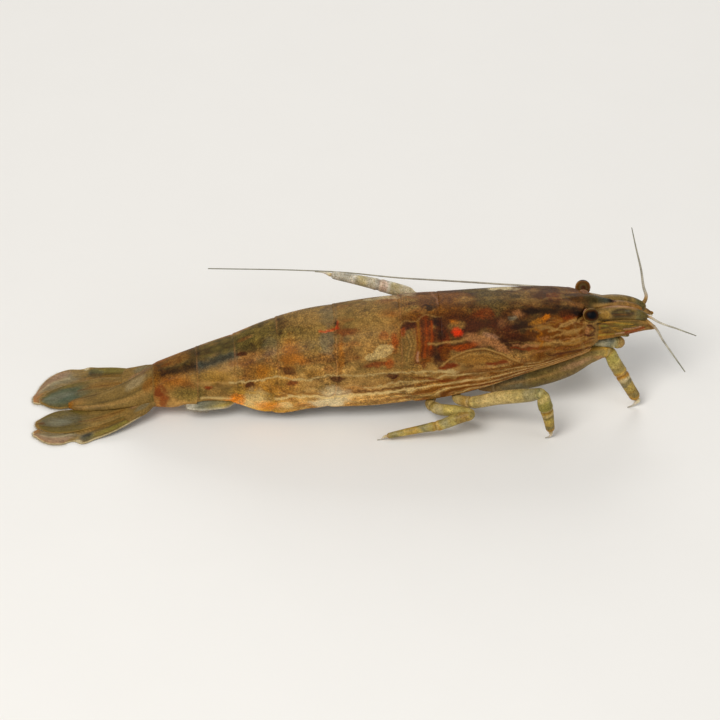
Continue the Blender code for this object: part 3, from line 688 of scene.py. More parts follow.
# Places are (length along the body, slanting height), which falls from the back to the lower margin.
SHELL_MARKS: Marks = (
    # last ring and the one before it
    Streak(((-21, 2.4), (-18.5, 2.9), (-16.2, 3.4), (-14.9, 3.7)), 0.55, SOOT, 0.9, 0.25, 0.8),
    Streak(((-14.9, 3.75), (-13, 4.25), (-11.3, 4.8)), 0.52, SLATE, 0.85, 0.2, 0.8),
    Streak(((-14.7, 3.8), (-13.2, 4.25), (-11.8, 4.65)), 0.36, SOOT, 0.65, 0.2, 0.6),
    Patch((-18, 5.1), (2.6, 0.5), SOOT, 0.75), Patch((-13.4, 2.5), (1.5, 0.7), GOLD, 0.35, 0, 0.4, 0.3, 0.4),
    Patch((-8.4, 3), (1.5, 0.8), GOLD, 0.3, 0, 0.4, 0.3, 0.5), Patch((-3.7, 8.5), (2, 0.7), SAND, 0.35),
    # Painted highlights: the CREAM and PALE patches low on the rings, at -6 and -1.4 along, stand in for
    # light from below.
    Patch((-6, -0.6), (1, 0.35), CREAM, 0.8, 0, 0.4, 0.4, 0.3),
    Patch((-1.4, -0.45), (1.7, 0.4), PALE, 0.8, 0, 0.4, 0.4, 0.3),
    Patch((-18, 4.1), (1.8, 0.35), AMBER, 0.3, 18), Patch((-17.9, 1.9), (1.9, 0.7), AMBER, 0.4, 10, 0.6),
    Patch((-16.3, 0.6), (1.9, 0.8), MOSS, 0.75), Patch((-15.4, 2.4), (1.6, 0.6), DRAB, 0.35),
    Patch((-19.6, 0.75), (0.8, 0.5), BRICK, 0.9, 35, 0.5, 0.6, 0.3),
    Patch((-19.9, 2.2), (0.6, 0.9), OCHRE, 0.6, 0, 0.5),
    Patch((-19, -0.1), (0.45, 0.75), BRICK, 0.75, -15, 0.5, 0.6, 0.3),
    Streak(((-15.4, 1.7), (-13.9, 1.9), (-12.4, 1.75), (-11.9, 1.8)), 0.13, SAND, 0.8, 0.2),
    Patch((-14.2, 1.25), (0.5, 0.25), BRICK), Patch((-13, 0.6), (1.6, 0.5), TAN, 0.6),
    Patch((-11.5, -0.2), (0.9, 0.55), ORANGE, 0.75, 0, 0.5, 0.35, 0.3),
    Patch((-10.4, -0.45), (0.8, 0.3), CREAM),
    Streak(((-14.9, 0.15), (-13.2, 0.2), (-11.6, 0.1)), 0.12, CREAM, 0.7, 0.1),
    # fourth ring
    Patch((-10, 5.35), (1.3, 0.55), SOOT, 0.55, 15), Patch((-10.6, 4.85), (0.65, 0.25), MAROON, 0.9, 5, 0.3),
    Patch((-7.35, 5.9), (0.9, 1.1), SLATE, 0.35), Patch((-9.6, 3.4), (1.3, 0.9), BROWN, 0.35),
    Patch((-8.2, 2.9), (0.8, 0.6), AMBER, 0.5),
    Patch((-9.2, -0.05), (1.4, 0.95), CREAM, 0.85, 0, 0.5, 0.35, 0.5),
    Patch((-7.7, -0.65), (1.4, 0.45), ORANGE, 0.6, 0, 0.5, 0.35, 0.4),
    Patch((-11, -0.1), (0.75, 0.8), ORANGE, 0.75, 0, 0.3),
    Patch((-9.6, 1.6), (0.45, 0.22), MAROON, 0.95, 0, 0.25),
    # third ring
    Patch((-5.4, 5), (1, 1.6), AMBER, 0.6, 0, 0.5, 0.4, 0.4), Patch((-6.2, 8.2), (0.5, 0.6), UMBER, 0.5),
    Patch((-4.3, 4.3), (0.7, 0.5), ORANGE, 0.3, 0, 0.5, 0.4, 0.4), Patch((-3.1, 5.9), (1.6, 1.3), DRAB, 0.5),
    Patch((-1.35, 6.2), (0.85, 1.5), SLATE, 0.5, 0, 0.3), Patch((-1.2, 8.8), (0.9, 0.9), SLATE, 0.35),
    Patch((-5.5, 2.9), (0.9, 0.5), MAROON, 0.85, -15), Patch((-5.1, 1.75), (0.65, 0.33), BRICK, 0.75),
    Patch((-2.7, 2.9), (1.1, 0.35), OCHRE, 0.6),
    # second ring
    Streak(((-2.2, 7.35), (-1.2, 7.45), (-0.2, 7.62)), 0.15, FLAME, 0.55, 0.2, 0.9),
    Streak(((-0.35, 7.7), (-0.25, 8.35)), 0.13, FLAME, 0.55, 0.2, 0.9),
    Patch((-0.55, 8.25), (0.14, 0.25), SOOT), Patch((0.75, 7.25), (1.2, 0.4), BRICK, 0.7, 6),
    Patch((0.1, 4.6), (0.35, 2), AMBER, 0.5), Patch((4, 7.6), (2.2, 1.6), SAND, 0.45),
    Patch((4.6, 5.15), (1.2, 0.7), CREAM, 0.72, 22, 0.12, 0.18, 0.7, 0.5),
    Patch((3.4, 4.62), (0.8, 0.36), CREAM, 0.72, 15, 0.12, 0.18, 0.7, 0.5),
    Patch((4, 3.75), (1.5, 0.26), BRICK, 0.8, 8), Patch((4.75, 6.85), (0.5, 0.5), RUST, 0.5),
    Patch((5.8, 6.3), (0.4, 0.7), RUST, 0.7), Patch((5.4, 3.85), (0.45, 0.6), RUST, 0.7),
    Patch((-0.35, 2.2), (0.6, 0.36), MAROON, 1, -8, 0.25),
    Patch((5.7, 2.55), (0.7, 0.27), MAROON, 0.95, 4, 0.25),
    # Painted highlight: this PALE patch low on the ring stands in for light from below.
    Patch((-0.5, 0.4), (1.5, 0.8), PALE, 0.75, 0, 0.5, 0.35, 0.5),
    Streak((
        (-11.9, 1.8), (-8.9, 2), (-5.8, 2.45), (-4.9, 2.15), (-0.8, 2.6), (1.7, 2.6), (6.2, 2.9),
        (10.9, 3.2)), 0.085, CREAM, 0.8, 0.2),
    # first ring: the red block
    Patch((7.2, 5.6), (0.95, 1.9), KHAKI, 0.75, 0, 0.25), Patch((9, 6.2), (1, 2.6), BRICK, 0.75, 0, 0.2),
    Patch((10.6, 5.9), (0.95, 2.4), MAROON, 0.9, 0, 0.25),
    Patch((11.2, 5.5), (0.6, 1.6), BRICK, 0.7, 0, 0.3), Patch((7.4, 7.95), (1.05, 0.5), MAROON, 1, 12, 0.25),
    Patch((6.7, 7.2), (0.35, 0.55), RUST, 0.7), Patch((10.2, 8.35), (0.65, 0.55), NIGHT, 0.85, 0, 0.3),
    Patch((8.8, 8.1), (0.9, 0.45), MAROON, 0.8, 10, 0.3), Patch((10.8, 6.9), (0.35, 0.5), SOOT),
    Patch((10.7, 5.9), (0.4, 0.3), SOOT), Patch((10.4, 4.7), (0.6, 0.5), SOOT, 0.6),
    Patch((9.1, 4.2), (0.8, 0.4), CHESTNUT),
    Streak(((8.35, 8.3), (8.5, 6.6), (8.4, 4.2)), 0.17, HONEY, 0.65, 0.1),
    Streak(((8.75, 8.5), (8.9, 6.6), (8.8, 4.4)), 0.11, LOAM, 0.6, 0.1),
    Streak(((9.2, 8.5), (9.25, 6.6), (9.1, 4.6)), 0.12, RUST, 0.55, 0.1),
    Streak(((9.75, 8.4), (9.85, 6.8), (9.75, 5.4)), 0.13, RUST, 0.9, 0.1),
    Streak(((8.05, 7.4), (8.1, 6), (8, 4.6)), 0.1, TAN, 0.7, 0.1),
    Streak(((8.4, 5.1), (8.3, 4.1)), 0.1, BLUSH, 0.6, 0.05),
    Streak(((7, 7.1), (7.35, 6.2), (7.15, 4.2)), 0.09, BARK, 0.65, 0.1),
    Streak(((7.45, 7.2), (7.75, 6), (7.55, 4.4)), 0.07, UMBER, 0.6, 0.1),
    Streak(((7.2, 7), (7.55, 6), (7.35, 4.6)), 0.06, SAND, 0.65, 0.1),
    Streak(((6.6, 6.8), (6.8, 5.6), (6.6, 4.2)), 0.07, BARK, 0.5),
    Streak(((6.3, 7.9), (6.9, 8.3), (7.6, 8.4), (8.4, 8.55), (9.1, 8.95), (9.9, 8.9), (11, 8.85)), 0.09,
        SAND, 0.5, 0.25),
    Streak(((9.6, 5.95), (11.4, 6.05), (12.6, 6.25), (14, 6.6)), 0.14, SAND, 0.7),
    Patch((9.7, 10), (0.75, 0.55), SOOT, 0.9, 0, 0.25, 0.5), Patch((8.9, 10.3), (0.5, 0.35), MAROON, 0.6),
    # Painted highlights: the two PALE patches on the crown of the first ring, at 4.6 and 7.6 along.
    Streak(((10.1, 11), (10.5, 10.3)), 0.1, BLUSH, 0.55), Patch((4.6, 10.6), (1.9, 0.24), PALE, 0.6, 2),
    Patch((7.6, 10.9), (0.7, 0.2), PALE, 0.45),
    # shield, back
    # Painted highlight: the strong PALE patch on the crown of the shield, at 17.4 along.
    Patch((12.1, 11.2), (2.6, 0.16), SOOT, 0.5), Patch((17.4, 11.7), (1.8, 0.36), PALE, 0.95),
    Patch((10.8, 10.6), (2.6, 0.55), BROWN, 0.6), Patch((14.6, 11.3), (1.5, 0.18), OLIVE, 0.6),
    Patch((16.2, 10.5), (1.6, 0.5), BARK, 0.6), Patch((13.4, 10.1), (2.2, 0.35), UMBER, 0.5),
    # shield, dark saddle
    Patch((12.3, 8.5), (2.2, 1.1), MAROON, 0.7), Patch((14.3, 7.8), (1.3, 1.1), MAROON, 0.65),
    Patch((15.5, 9.25), (1.1, 0.6), BRICK, 0.75), Patch((17.4, 7.5), (1.7, 1.2), MAROON, 0.85, -12),
    Patch((17.3, 8.1), (0.5, 0.5), ROSE, 0.25), Patch((19.6, 7.9), (1.3, 0.5), SOOT, 0.7),
    Patch((17.4, 6.3), (0.9, 0.3), SOOT, 0.6, -10), Patch((12.4, 7.95), (0.85, 0.32), TAN, 0.7, 0, 0.6, 0.7),
    Patch((12.2, 8.35), (0.35, 0.25), ORANGE, 0.4, 0, 0.6, 0.7),
    Patch((12.55, 7.15), (0.6, 0.46), FLAME, 0.92, -8, 0.3, 0.4, 0.5),
    Patch((19.05, 9.25), (0.6, 0.38), ROSE, 0.55, 0, 0.6, 0.6),
    Patch((18.45, 8.8), (0.45, 0.2), GREY, 0.5, 0, 0.6, 0.6),
    Streak(((19.8, 9.45), (22.4, 9.45), (24.6, 9.6), (26.4, 9.35)), 0.34, SOOT, 0.85, 0.3),
    Patch((20.7, 9.6), (0.7, 0.4), SOOT, 0.7), Patch((23.9, 9.95), (0.8, 0.3), SOOT, 0.6),
    Patch((22.15, 8.95), (0.42, 0.24), ORANGE, 0.85, 30, 0.5, 0.8),
    Patch((21.6, 8.55), (0.5, 0.2), AMBER, 0.7, 20, 0.5, 0.8),
    Patch((20.9, 8.2), (0.7, 0.28), HONEY, 0.75, 20, 0.5, 0.8),
    Patch((24.6, 9.15), (1.3, 0.35), MAROON, 0.9), Patch((25.5, 9.3), (0.8, 0.3), SOOT, 0.9),
    Patch((24.4, 8.75), (0.5, 0.2), BRICK, 0.6),
    Streak(((20.5, 11), (23, 11.35), (25.8, 11.4)), 0.12, LOAM, 0.55, 0.2),
    Streak(((21, 10.3), (23.5, 10.6), (26, 10.55)), 0.14, LOAM, 0.55, 0.2),
    Streak(((21.5, 10.7), (24, 10.95)), 0.1, TAN, 0.45, 0.2),
    Streak(((23.8, 8.06), (24.9, 8.54), (26, 8.83)), 0.11, SAND, 0.8, 0.1),
    Streak(((23.8, 7.85), (24.9, 8.3), (26, 8.55)), 0.1, MAROON, 0.8, 0.1),
    Streak(((26.1, 8.3), (26.15, 7.3), (26.1, 6.5)), 0.08, TAN, 0.6, 0.1),
    Streak(((25.9, 8.2), (25.85, 7.2), (25.9, 6.4)), 0.07, CHESTNUT, 0.6, 0.1),
    # shield, cheek lines
    Streak(((22.3, 7.4), (24.2, 8.05), (25.8, 8.65)), 0.1, SAND, 0.8, 0.25),
    Streak(((22.6, 6.75), (24.3, 7.25), (26.2, 7.7)), 0.1, SAND, 0.6, 0.3),
    Streak(((22.2, 6.1), (24.1, 6.25), (26.2, 6.8)), 0.11, SAND, 0.75, 0.3),
    Streak(((20.4, 7.5), (22, 7.9), (23.8, 8.6)), 0.1, OCHRE, 0.7, 0.3),
    Streak(((21, 7.5), (21.6, 7.1), (21.2, 6.6), (21.7, 6.1), (21.5, 5.7)), 0.15, AMBER, 0.6, 0.2, 0.6),
    Patch((22.9, 4.9), (2.6, 0.4), CHESTNUT, 0.5, 8),
    Streak(((18.4, 5.55), (19.8, 5.45), (21.2, 5.6)), 0.12, BRICK, 0.8, 0.2),
    Streak(((18.6, 5.85), (20, 5.75), (21.2, 5.9)), 0.1, ROSE, 0.7, 0.2),
    Streak(((22.6, 4.75), (24.8, 5.15), (26.8, 5.6)), 0.11, MAROON, 0.85, 0.1),
    # shield, gill window
    Patch((14.9, 4.5), (3.2, 0.8), TAN, 0.6, 0, 0.2, 0.1),
    Patch((15.2, 6.35), (1.7, 0.58), ROSE, 0.75, -8, 0.4, 0.5, 0.6),
    Patch((16.2, 6.9), (0.75, 0.26), BLUSH, 0.35, -15), Patch((17.1, 5.6), (1.4, 0.4), ROSE, 0.75, -28),
    Patch((13.3, 5.65), (1.4, 0.36), RUST, 0.75, 14, 0.3), Patch((11.4, 4.8), (0.7, 0.8), CHESTNUT),
    Patch((14.9, 4.4), (3, 0.55), HONEY, 0.45, 0, 0.2, 0.1, 0.5),
    Streak(((12.4, 4.35), (14.2, 4.85), (15.6, 4.9), (17.2, 4.5)), 0.07, SAND, 0.5, 0.04, 0.3),
    Streak((
        (10.9, 3.4), (11.5, 3.95), (12.2, 4.4), (13.1, 4.88), (14, 5.16), (14.9, 5.29), (15.9, 5.22),
        (17, 4.88), (18.2, 4.33), (19.3, 3.9)), 0.09, CHESTNUT, 0.75, 0.02, 0.3, 0.2),
    Streak((
        (10.8, 3.53), (11.5, 4.1), (12.2, 4.55), (13.1, 5.03), (14, 5.31), (14.9, 5.44), (15.9, 5.37),
        (17, 5.03), (18.2, 4.48), (19.3, 4.05)), 0.075, SAND, 0.9, 0.02, 0.2, 0.2),
    Streak(((12.6, 4.1), (14, 4.55), (15.4, 4.62), (16.8, 4.35)), 0.06, BROWN, 0.5, 0.04, 0.3, 0.2),
    Patch((11.8, 3.55), (1.1, 0.26), BRICK, 1, 6, 0.3, 0.3, 0.4),
    Patch((16.9, 3.88), (1.2, 0.22), BRICK, 1, 4, 0.3, 0.3, 0.4),
    Patch((14.4, 3.75), (0.9, 0.12), CHESTNUT, 0.6, 2, 0.3),
    Patch((11.6, 3.05), (1.1, 0.2), CREAM, 0.9, 0, 0.3, 0.3, 0.3),
    Streak(((9.6, 2.2), (11.5, 2.1), (13.4, 2.3)), 0.13, BRICK, 0.75, 0.15),
    Streak(((13.8, 2.9), (16.6, 3.05), (19.8, 3.9)), 0.11, CHESTNUT, 0.7, 0.15),
    # ventral lines of the rings
    Streak(((-6.9, 0.1), (-4, 0.4), (-1.3, 0.2), (1.7, 0.5), (3.3, 0.6), (7.8, 1.15)), 0.12, CREAM, 0.95,
        0.2),
    Streak(((-6.9, 0.38), (-4, 0.7), (-1.3, 0.48), (1.7, 0.8)), 0.09, BROWN, 0.6, 0.2),
    Streak(((1.5, 0.78), (3.3, 0.9), (5.5, 1.25), (7.8, 1.45)), 0.12, MAROON, 0.75, 0.2),
    Streak(((2.6, 1.2), (5.4, 1.7), (8.4, 2)), 0.11, CREAM, 0.6, 0.35),
)



@dataclass(frozen=True)
class Trunk:
    """The shell of the trunk: its sections along the body, and the paint they carry."""

    crown_power: float = 2.4
    flap: float = 0.5
    arc_steps: int = 84
    side_steps: int = 44
    pace: int = 8
    # Along the body: x, top, widest level, half width, lower margin, half width at the margin.
    sections: Table = (
        (-20.2, 5, 2.8, 2.5, 0.95, 2), (-17.3, 6.3, 3.2, 2.8, 1.05, 2.3), (-15.4, 6.95, 3.7, 3.1, 2.5, 2.6),
        (-13.3, 7.6, 4.2, 3.5, 2.75, 2.8), (-11.3, 8.3, 4.6, 3.8, 2.45, 3.1), (-9, 9.35, 5, 4.1, 1.55, 3.3),
        (-6.7, 10.25, 5.4, 4.4, 1.25, 3.5), (-3.7, 11.1, 5.8, 4.6, 1.85, 3.7),
        (-0.5, 11.65, 6.1, 4.75, 2.05, 3.8), (3, 12.2, 6.4, 4.8, 2.15, 3.9), (6.5, 12.6, 6.7, 4.8, 2.4, 3.9),
        (10.7, 12.85, 6.9, 4.8, 2.8, 3.9), (15.1, 13.05, 7.3, 4.75, 3.9, 3.9),
        (19.5, 13.15, 7.7, 4.6, 5.5, 3.8), (23.8, 12.95, 8.2, 4.35, 6.9, 3.6),
        (25.6, 12.7, 8.5, 4, 7.4, 3.3), (28.1, 12.3, 9, 3, 7.6, 2.6))

    @property
    def columns(self) -> Array:
        """Places round the outer skin: 0 on the crown, 1 or -1 at the widest level, 2 or -2 at a margin."""
        arc, side = np.linspace(0, 1, self.arc_steps + 1), np.linspace(1, 2, self.side_steps + 1)
        half = np.concatenate([arc, side[1:]])
        return np.concatenate([-half[:0:-1], half])

    def skin(self, x: Array, swell: Array, lift: Array | float = 0.0) -> Array:
        """Outer skin: a rounded arch from the crown to the widest level, then a side that curves in below.

        The arch is a quarter of |y|^n + |z|^n = 1. The side drops evenly and narrows with the drop's square.

        Args:
            x: length along the body, in a shape that spreads to (rows, columns).
            swell: how far the skin stands out, likewise.
            lift: how far the margin is raised, likewise.

        Returns:
            Points of shape (rows, columns, 3).
        """
        around = self.columns
        s = np.abs(around)
        top, level, half, margin, foot = columns_at(self.sections, x)
        turn = np.minimum(s, 1.0) * math.pi / 2
        bend = 2.0 / self.crown_power
        t = np.maximum(s - 1.0, 0.0)
        y = (half + swell) * np.sin(turn) ** bend - (half - foot) * t**2
        z = level + (top + swell - level) * np.maximum(np.cos(turn), 0.0) ** bend * (s < 1.0)
        return joined(x, y * np.sign(around), z - (level - margin - lift) * t)

    def lining(self, skin: Array, inset: Array | float) -> Array:
        """Inner lining: up the inside of each flap and straight across the roof.

        Args:
            skin: the outer skin, shape (rows, columns, 3).
            inset: how far each row's lining is drawn back along the body.

        Returns:
            Points of shape (rows, lining columns, 3), in the order of the outer columns.
        """
        last = skin.shape[1] - 1
        corner = self.side_steps // 2
        picks = np.array([0, corner // 2, corner, last // 2, last - corner, last - corner // 2, last])
        held = skin[:, picks].copy()
        held[..., 1] -= np.sign(held[..., 1]) * self.flap * (picks != last // 2)
        held[:, 3] = held[:, 2] * (1.0, 0.0, 1.0)
        held[..., 0] -= np.reshape(inset, (-1, 1))
        places = np.arange(0, last + 1, self.pace)
        share = np.array([np.interp(places, picks, row) for row in np.eye(len(picks))])
        return np.einsum("kc,rkx->rcx", share, held)

    def wrapped(self, name: str, skin: Array, paint: Array, inner: Tone, inset: Array | float = 0.0) -> Draft:
        """A draft that holds the skin and its lining as one closed shell.

        Args:
            name: the piece's name.
            skin: the outer skin.
            paint: the skin's colours.
            inner: the lining's tone.
            inset: how far each row's lining is drawn back.

        Returns:
            The draft.
        """
        lining = self.lining(skin, inset)[:, ::-1]
        plain = np.broadcast_to(np.append(inner.rgb, 1.0), (*lining.shape[:2], 4))
        draft = Draft(name)
        draft.tube(np.concatenate([skin, lining], 1), np.concatenate([paint, plain], 1), ends=Ends.RIM,
                   lining=lining.shape[1])
        return draft

    def paint(self, points: Array, down: Array | float | None = None) -> Array:
        """Colours of the shell: ground tones from back to margin, wavy lines low down, the markings, then
        painted light below.

        Args:
            points: places on the shell, shape (rows, columns, 3).
            down: 0 on the crown to 1 at the lower margin, or the place on the trunk's own columns.

        Returns:
            Linear colours and grain, shape (rows, columns, 4).
        """
        down = np.broadcast_to(np.abs(self.columns) / 2.0 if down is None else down, points.shape[:2])
        both = points * (1.0, 0.0, 1.0) + np.abs(points) * (0.0, 1.0, 0.0)

        def noise(size: float, shift: float = 0.0, stretch: float = 1.0) -> Array:
            """Layered noise, the same on both sides."""
            return MOTTLE.layered(both * (stretch, 1.0, 1.0) + shift, size)

        rough, fine, broad = noise(1.1), noise(0.42, 40.0), noise(2.4, 9.0, 0.6)
        place = both[..., 0] + 1.2 * rough
        back, flank, belly = (blended(place, [(zone.at, getattr(zone, part)) for zone in ZONES])
                              for part in ("back", "flank", "belly"))
        fall = np.clip(down + 0.05 * rough, 0.0, 1.0)
        ground = mixed(mixed(back, flank, ease(0.09, 0.22, fall)), belly, ease(0.33, 0.50, fall))
        crown = ease(0.16, 0.05, down)
        ground = ground * (1.0 + (0.36 + 0.15 * crown) * rough + 0.36 * fine)[..., None]
        grain = np.clip(0.75 + 0.6 * noise(3.0, 55.0), 0.3, 1.1)
        grain = grain * (1.0 - 0.5 * ease(19.0, 22.0, place)) * (1.0 - 0.82 * ease(-9.5, -13.5, place))
        ground = grained(ground, grain)
        for tone, share, shift, size in ((OLIVE, 0.40, 110.0, 1.5), (RUST, 0.25, 130.0, 1.3),
                                         (SAND, 0.32, 150.0, 1.0), (LOAM, 0.35, 170.0, 0.8)):
            ground = toward(ground, tone, share * ease(0.12, 0.6, noise(size, shift, 0.45)))
        vein = bump(noise(1.2, 90.0, 0.3), 0.0, 0.06)
        ground = toward(ground, SAND, 0.34 * vein * ease(0.16, 0.24, down), 0.4)
        ground = toward(ground, DRAB, 0.75 * crown * ease(0.45, 0.85, noise(1.2, 70.0, 0.45)))
        ground = self.contours(ground, both[..., 0], down, rough, broad)
        chart = side_chart(points)
        chart[..., 1] += 2.4 * ease(0.0, 2.6, points[..., 1])
        warp = 0.20 * joined(noise(0.9, 15.0), noise(0.9, 25.0))
        colours = tinted(ground, SHELL_MARKS, chart, 0.5 * rough + 0.75 * fine, warp)
        # Painted light: the colours brighten toward the lower margin, as if lit from below.
        painted_underlight = (1.0 + 0.65 * ease(0.52, 0.85, down))[..., None]
        colours[..., :3] = np.clip(colours[..., :3] * painted_underlight, 0.0, 0.85)
        return colours

    def contours(self, colours: Array, x: Array, down: Array, rough: Array, broad: Array) -> Array:
        """Pale wavy lines with dark ones between them, which follow the lower margin.

        A line lies wherever a cosine of the place down the side, swayed by broad noise, nears its crest.

        Args:
            colours: the ground so far, with its grain.
            x: length along the body.
            down: 0 on the crown to 1 at the margin.
            rough: noise that breaks the lines.
            broad: noise that sways them.

        Returns:
            The colours with the lines.
        """
        low = ease(0.47, 0.55, down) * (0.25 + 0.75 * ease(4.0, 9.0, x)) * ease(-9.0, -5.0, x)
        cheek = ease(19.6, 21.6, x) * ease(0.215, 0.25, down) * ease(0.62, 0.52, down)
        for where, count, sway, tone in ((low, 8.0, 0.95, CREAM), (cheek, 10.5, 0.9, TAN)):
            phase = count * down + sway * broad + 0.10 * rough
            crest, second = np.cos(TAU * phase), np.cos(TAU * (1.9 * phase + 0.3))
            shown = where * np.clip(0.80 + 0.8 * rough, 0.25, 1.0)
            groove = 0.90 * where * ease(0.1, -0.7, crest) * ease(-0.4, 0.2, rough + 0.2)
            colours = toward(colours, CHESTNUT, groove, 0.5)
            colours = toward(colours, ROSE, 0.45 * shown * ease(0.75, 0.95, second), 0.3)
            colours = toward(colours, tone, 0.80 * shown * ease(0.70, 0.94, crest), 0.2)
        return colours


@dataclass(frozen=True)
class Pleon:
    """The five ringed plates of the tail that carry side flaps, and the narrow sixth."""

    trunk: Trunk
    step: float = 0.1
    overlap: float = 0.22
    proud: float = 0.075
    # The cuts between the rings, and how far each one swings back at the lower margin.
    cuts: Table = ((10.7, -0.8), (6.5, 1.2), (-0.5, -1.2), (-6.7, -0.9), (-11.3, -0.7), (-15.4, -0.4))
    tail_end: float = -20.32

    def ring(self, number: int) -> None:
        """One ringed plate: rows from its rear edge, which laps over the next ring, to its front edge.

        Args:
            number: 1 behind the shield, to 5.
        """
        (front, front_swing), (rear, rear_swing) = self.cuts[number - 1], self.cuts[number]
        rear, front = rear - self.overlap, front + (0.14 if number == 1 else -0.04)
        u = np.linspace(0.0, 1.0, max(24, round((front - rear) / self.step)))[:, None]
        s = np.abs(self.trunk.columns)
        t = np.maximum(s - 1.0, 0.0)
        base = rear + u * (front - rear)
        back, fore = base - rear, front - base
        swell = self.proud * np.exp(-back / 0.9) + 0.05 * np.sin(math.pi * u)
        swell = swell - 0.05 * bump(fore, 0.0, 0.25) * (1.0 - 0.9 * t) - 0.08 * ease(0.14, 0.0, back)
        swell = swell - 0.02 * bump(back, 0.42, 0.10) + 0.05 * bump((2.0 - s) * 4.3, 0.22, 0.14)
        lift = 0.22 * bump(back, 0.0, 0.5) + 0.10 * bump(fore, 0.0, 0.5)
        skin = self.trunk.skin(base + (rear_swing + u * (front_swing - rear_swing)) * t**2, swell, lift)
        worn = np.clip(0.5 + MOTTLE.layered(skin, 1.6), 0.0, 1.0)
        paint = toward(self.trunk.paint(skin), ROSE, 0.42 * bump(back, 0.10, 0.09) * worn, 0.5)
        paint[..., :3] *= (1.0 - 0.22 * bump(back, 0.34, 0.12))[..., None]
        paint = toward(paint, SAND, 0.6 * ease(0.975, 1.0, s / 2.0))
        draft = self.trunk.wrapped(f"shell_ring_{number}", skin, paint, TAN)
        draft.build(SHELL, "shell", f"pleonite_{number}")

    def last_ring(self) -> None:
        """The sixth ring: closed all round, a rounded box that narrows to the tail."""
        x = np.linspace(self.tail_end, self.cuts[5][0] - 0.12, 56)[:, None]
        turn = circle(180)
        top, level, half, margin, _ = columns_at(self.trunk.sections, x)
        back = x - self.tail_end
        swell = 0.03 - 0.10 * ease(0.7, 0.0, back) - 0.10 * ease(0.12, 0.0, back)
        bend = 2.0 / self.trunk.crown_power
        up, out = power(np.cos(turn), bend), power(np.sin(turn), bend)
        z = level + np.where(up > 0, top + swell - level, level - np.minimum(margin, 1.3)) * up
        slide = -0.45 * np.minimum(up, 0.0) ** 2 * ease(-20.0, -15.4, x)
        skin = joined(x + slide, -(half + swell) * out, z)
        down = np.clip(np.arccos(np.clip(np.cos(turn), -1, 1)) / 2.3, 0, 1)
        draft = Draft("shell_ring_6")
        draft.tube(skin, toward(self.trunk.paint(skin, down), KHAKI, 0.6 * ease(0.30, 0.05, back), 0.5))
        draft.build(SHELL, "shell", "pleonite_6")

    def build(self) -> None:
        """Makes all six rings."""
        for number in range(1, 6):
            self.ring(number)
        self.last_ring()


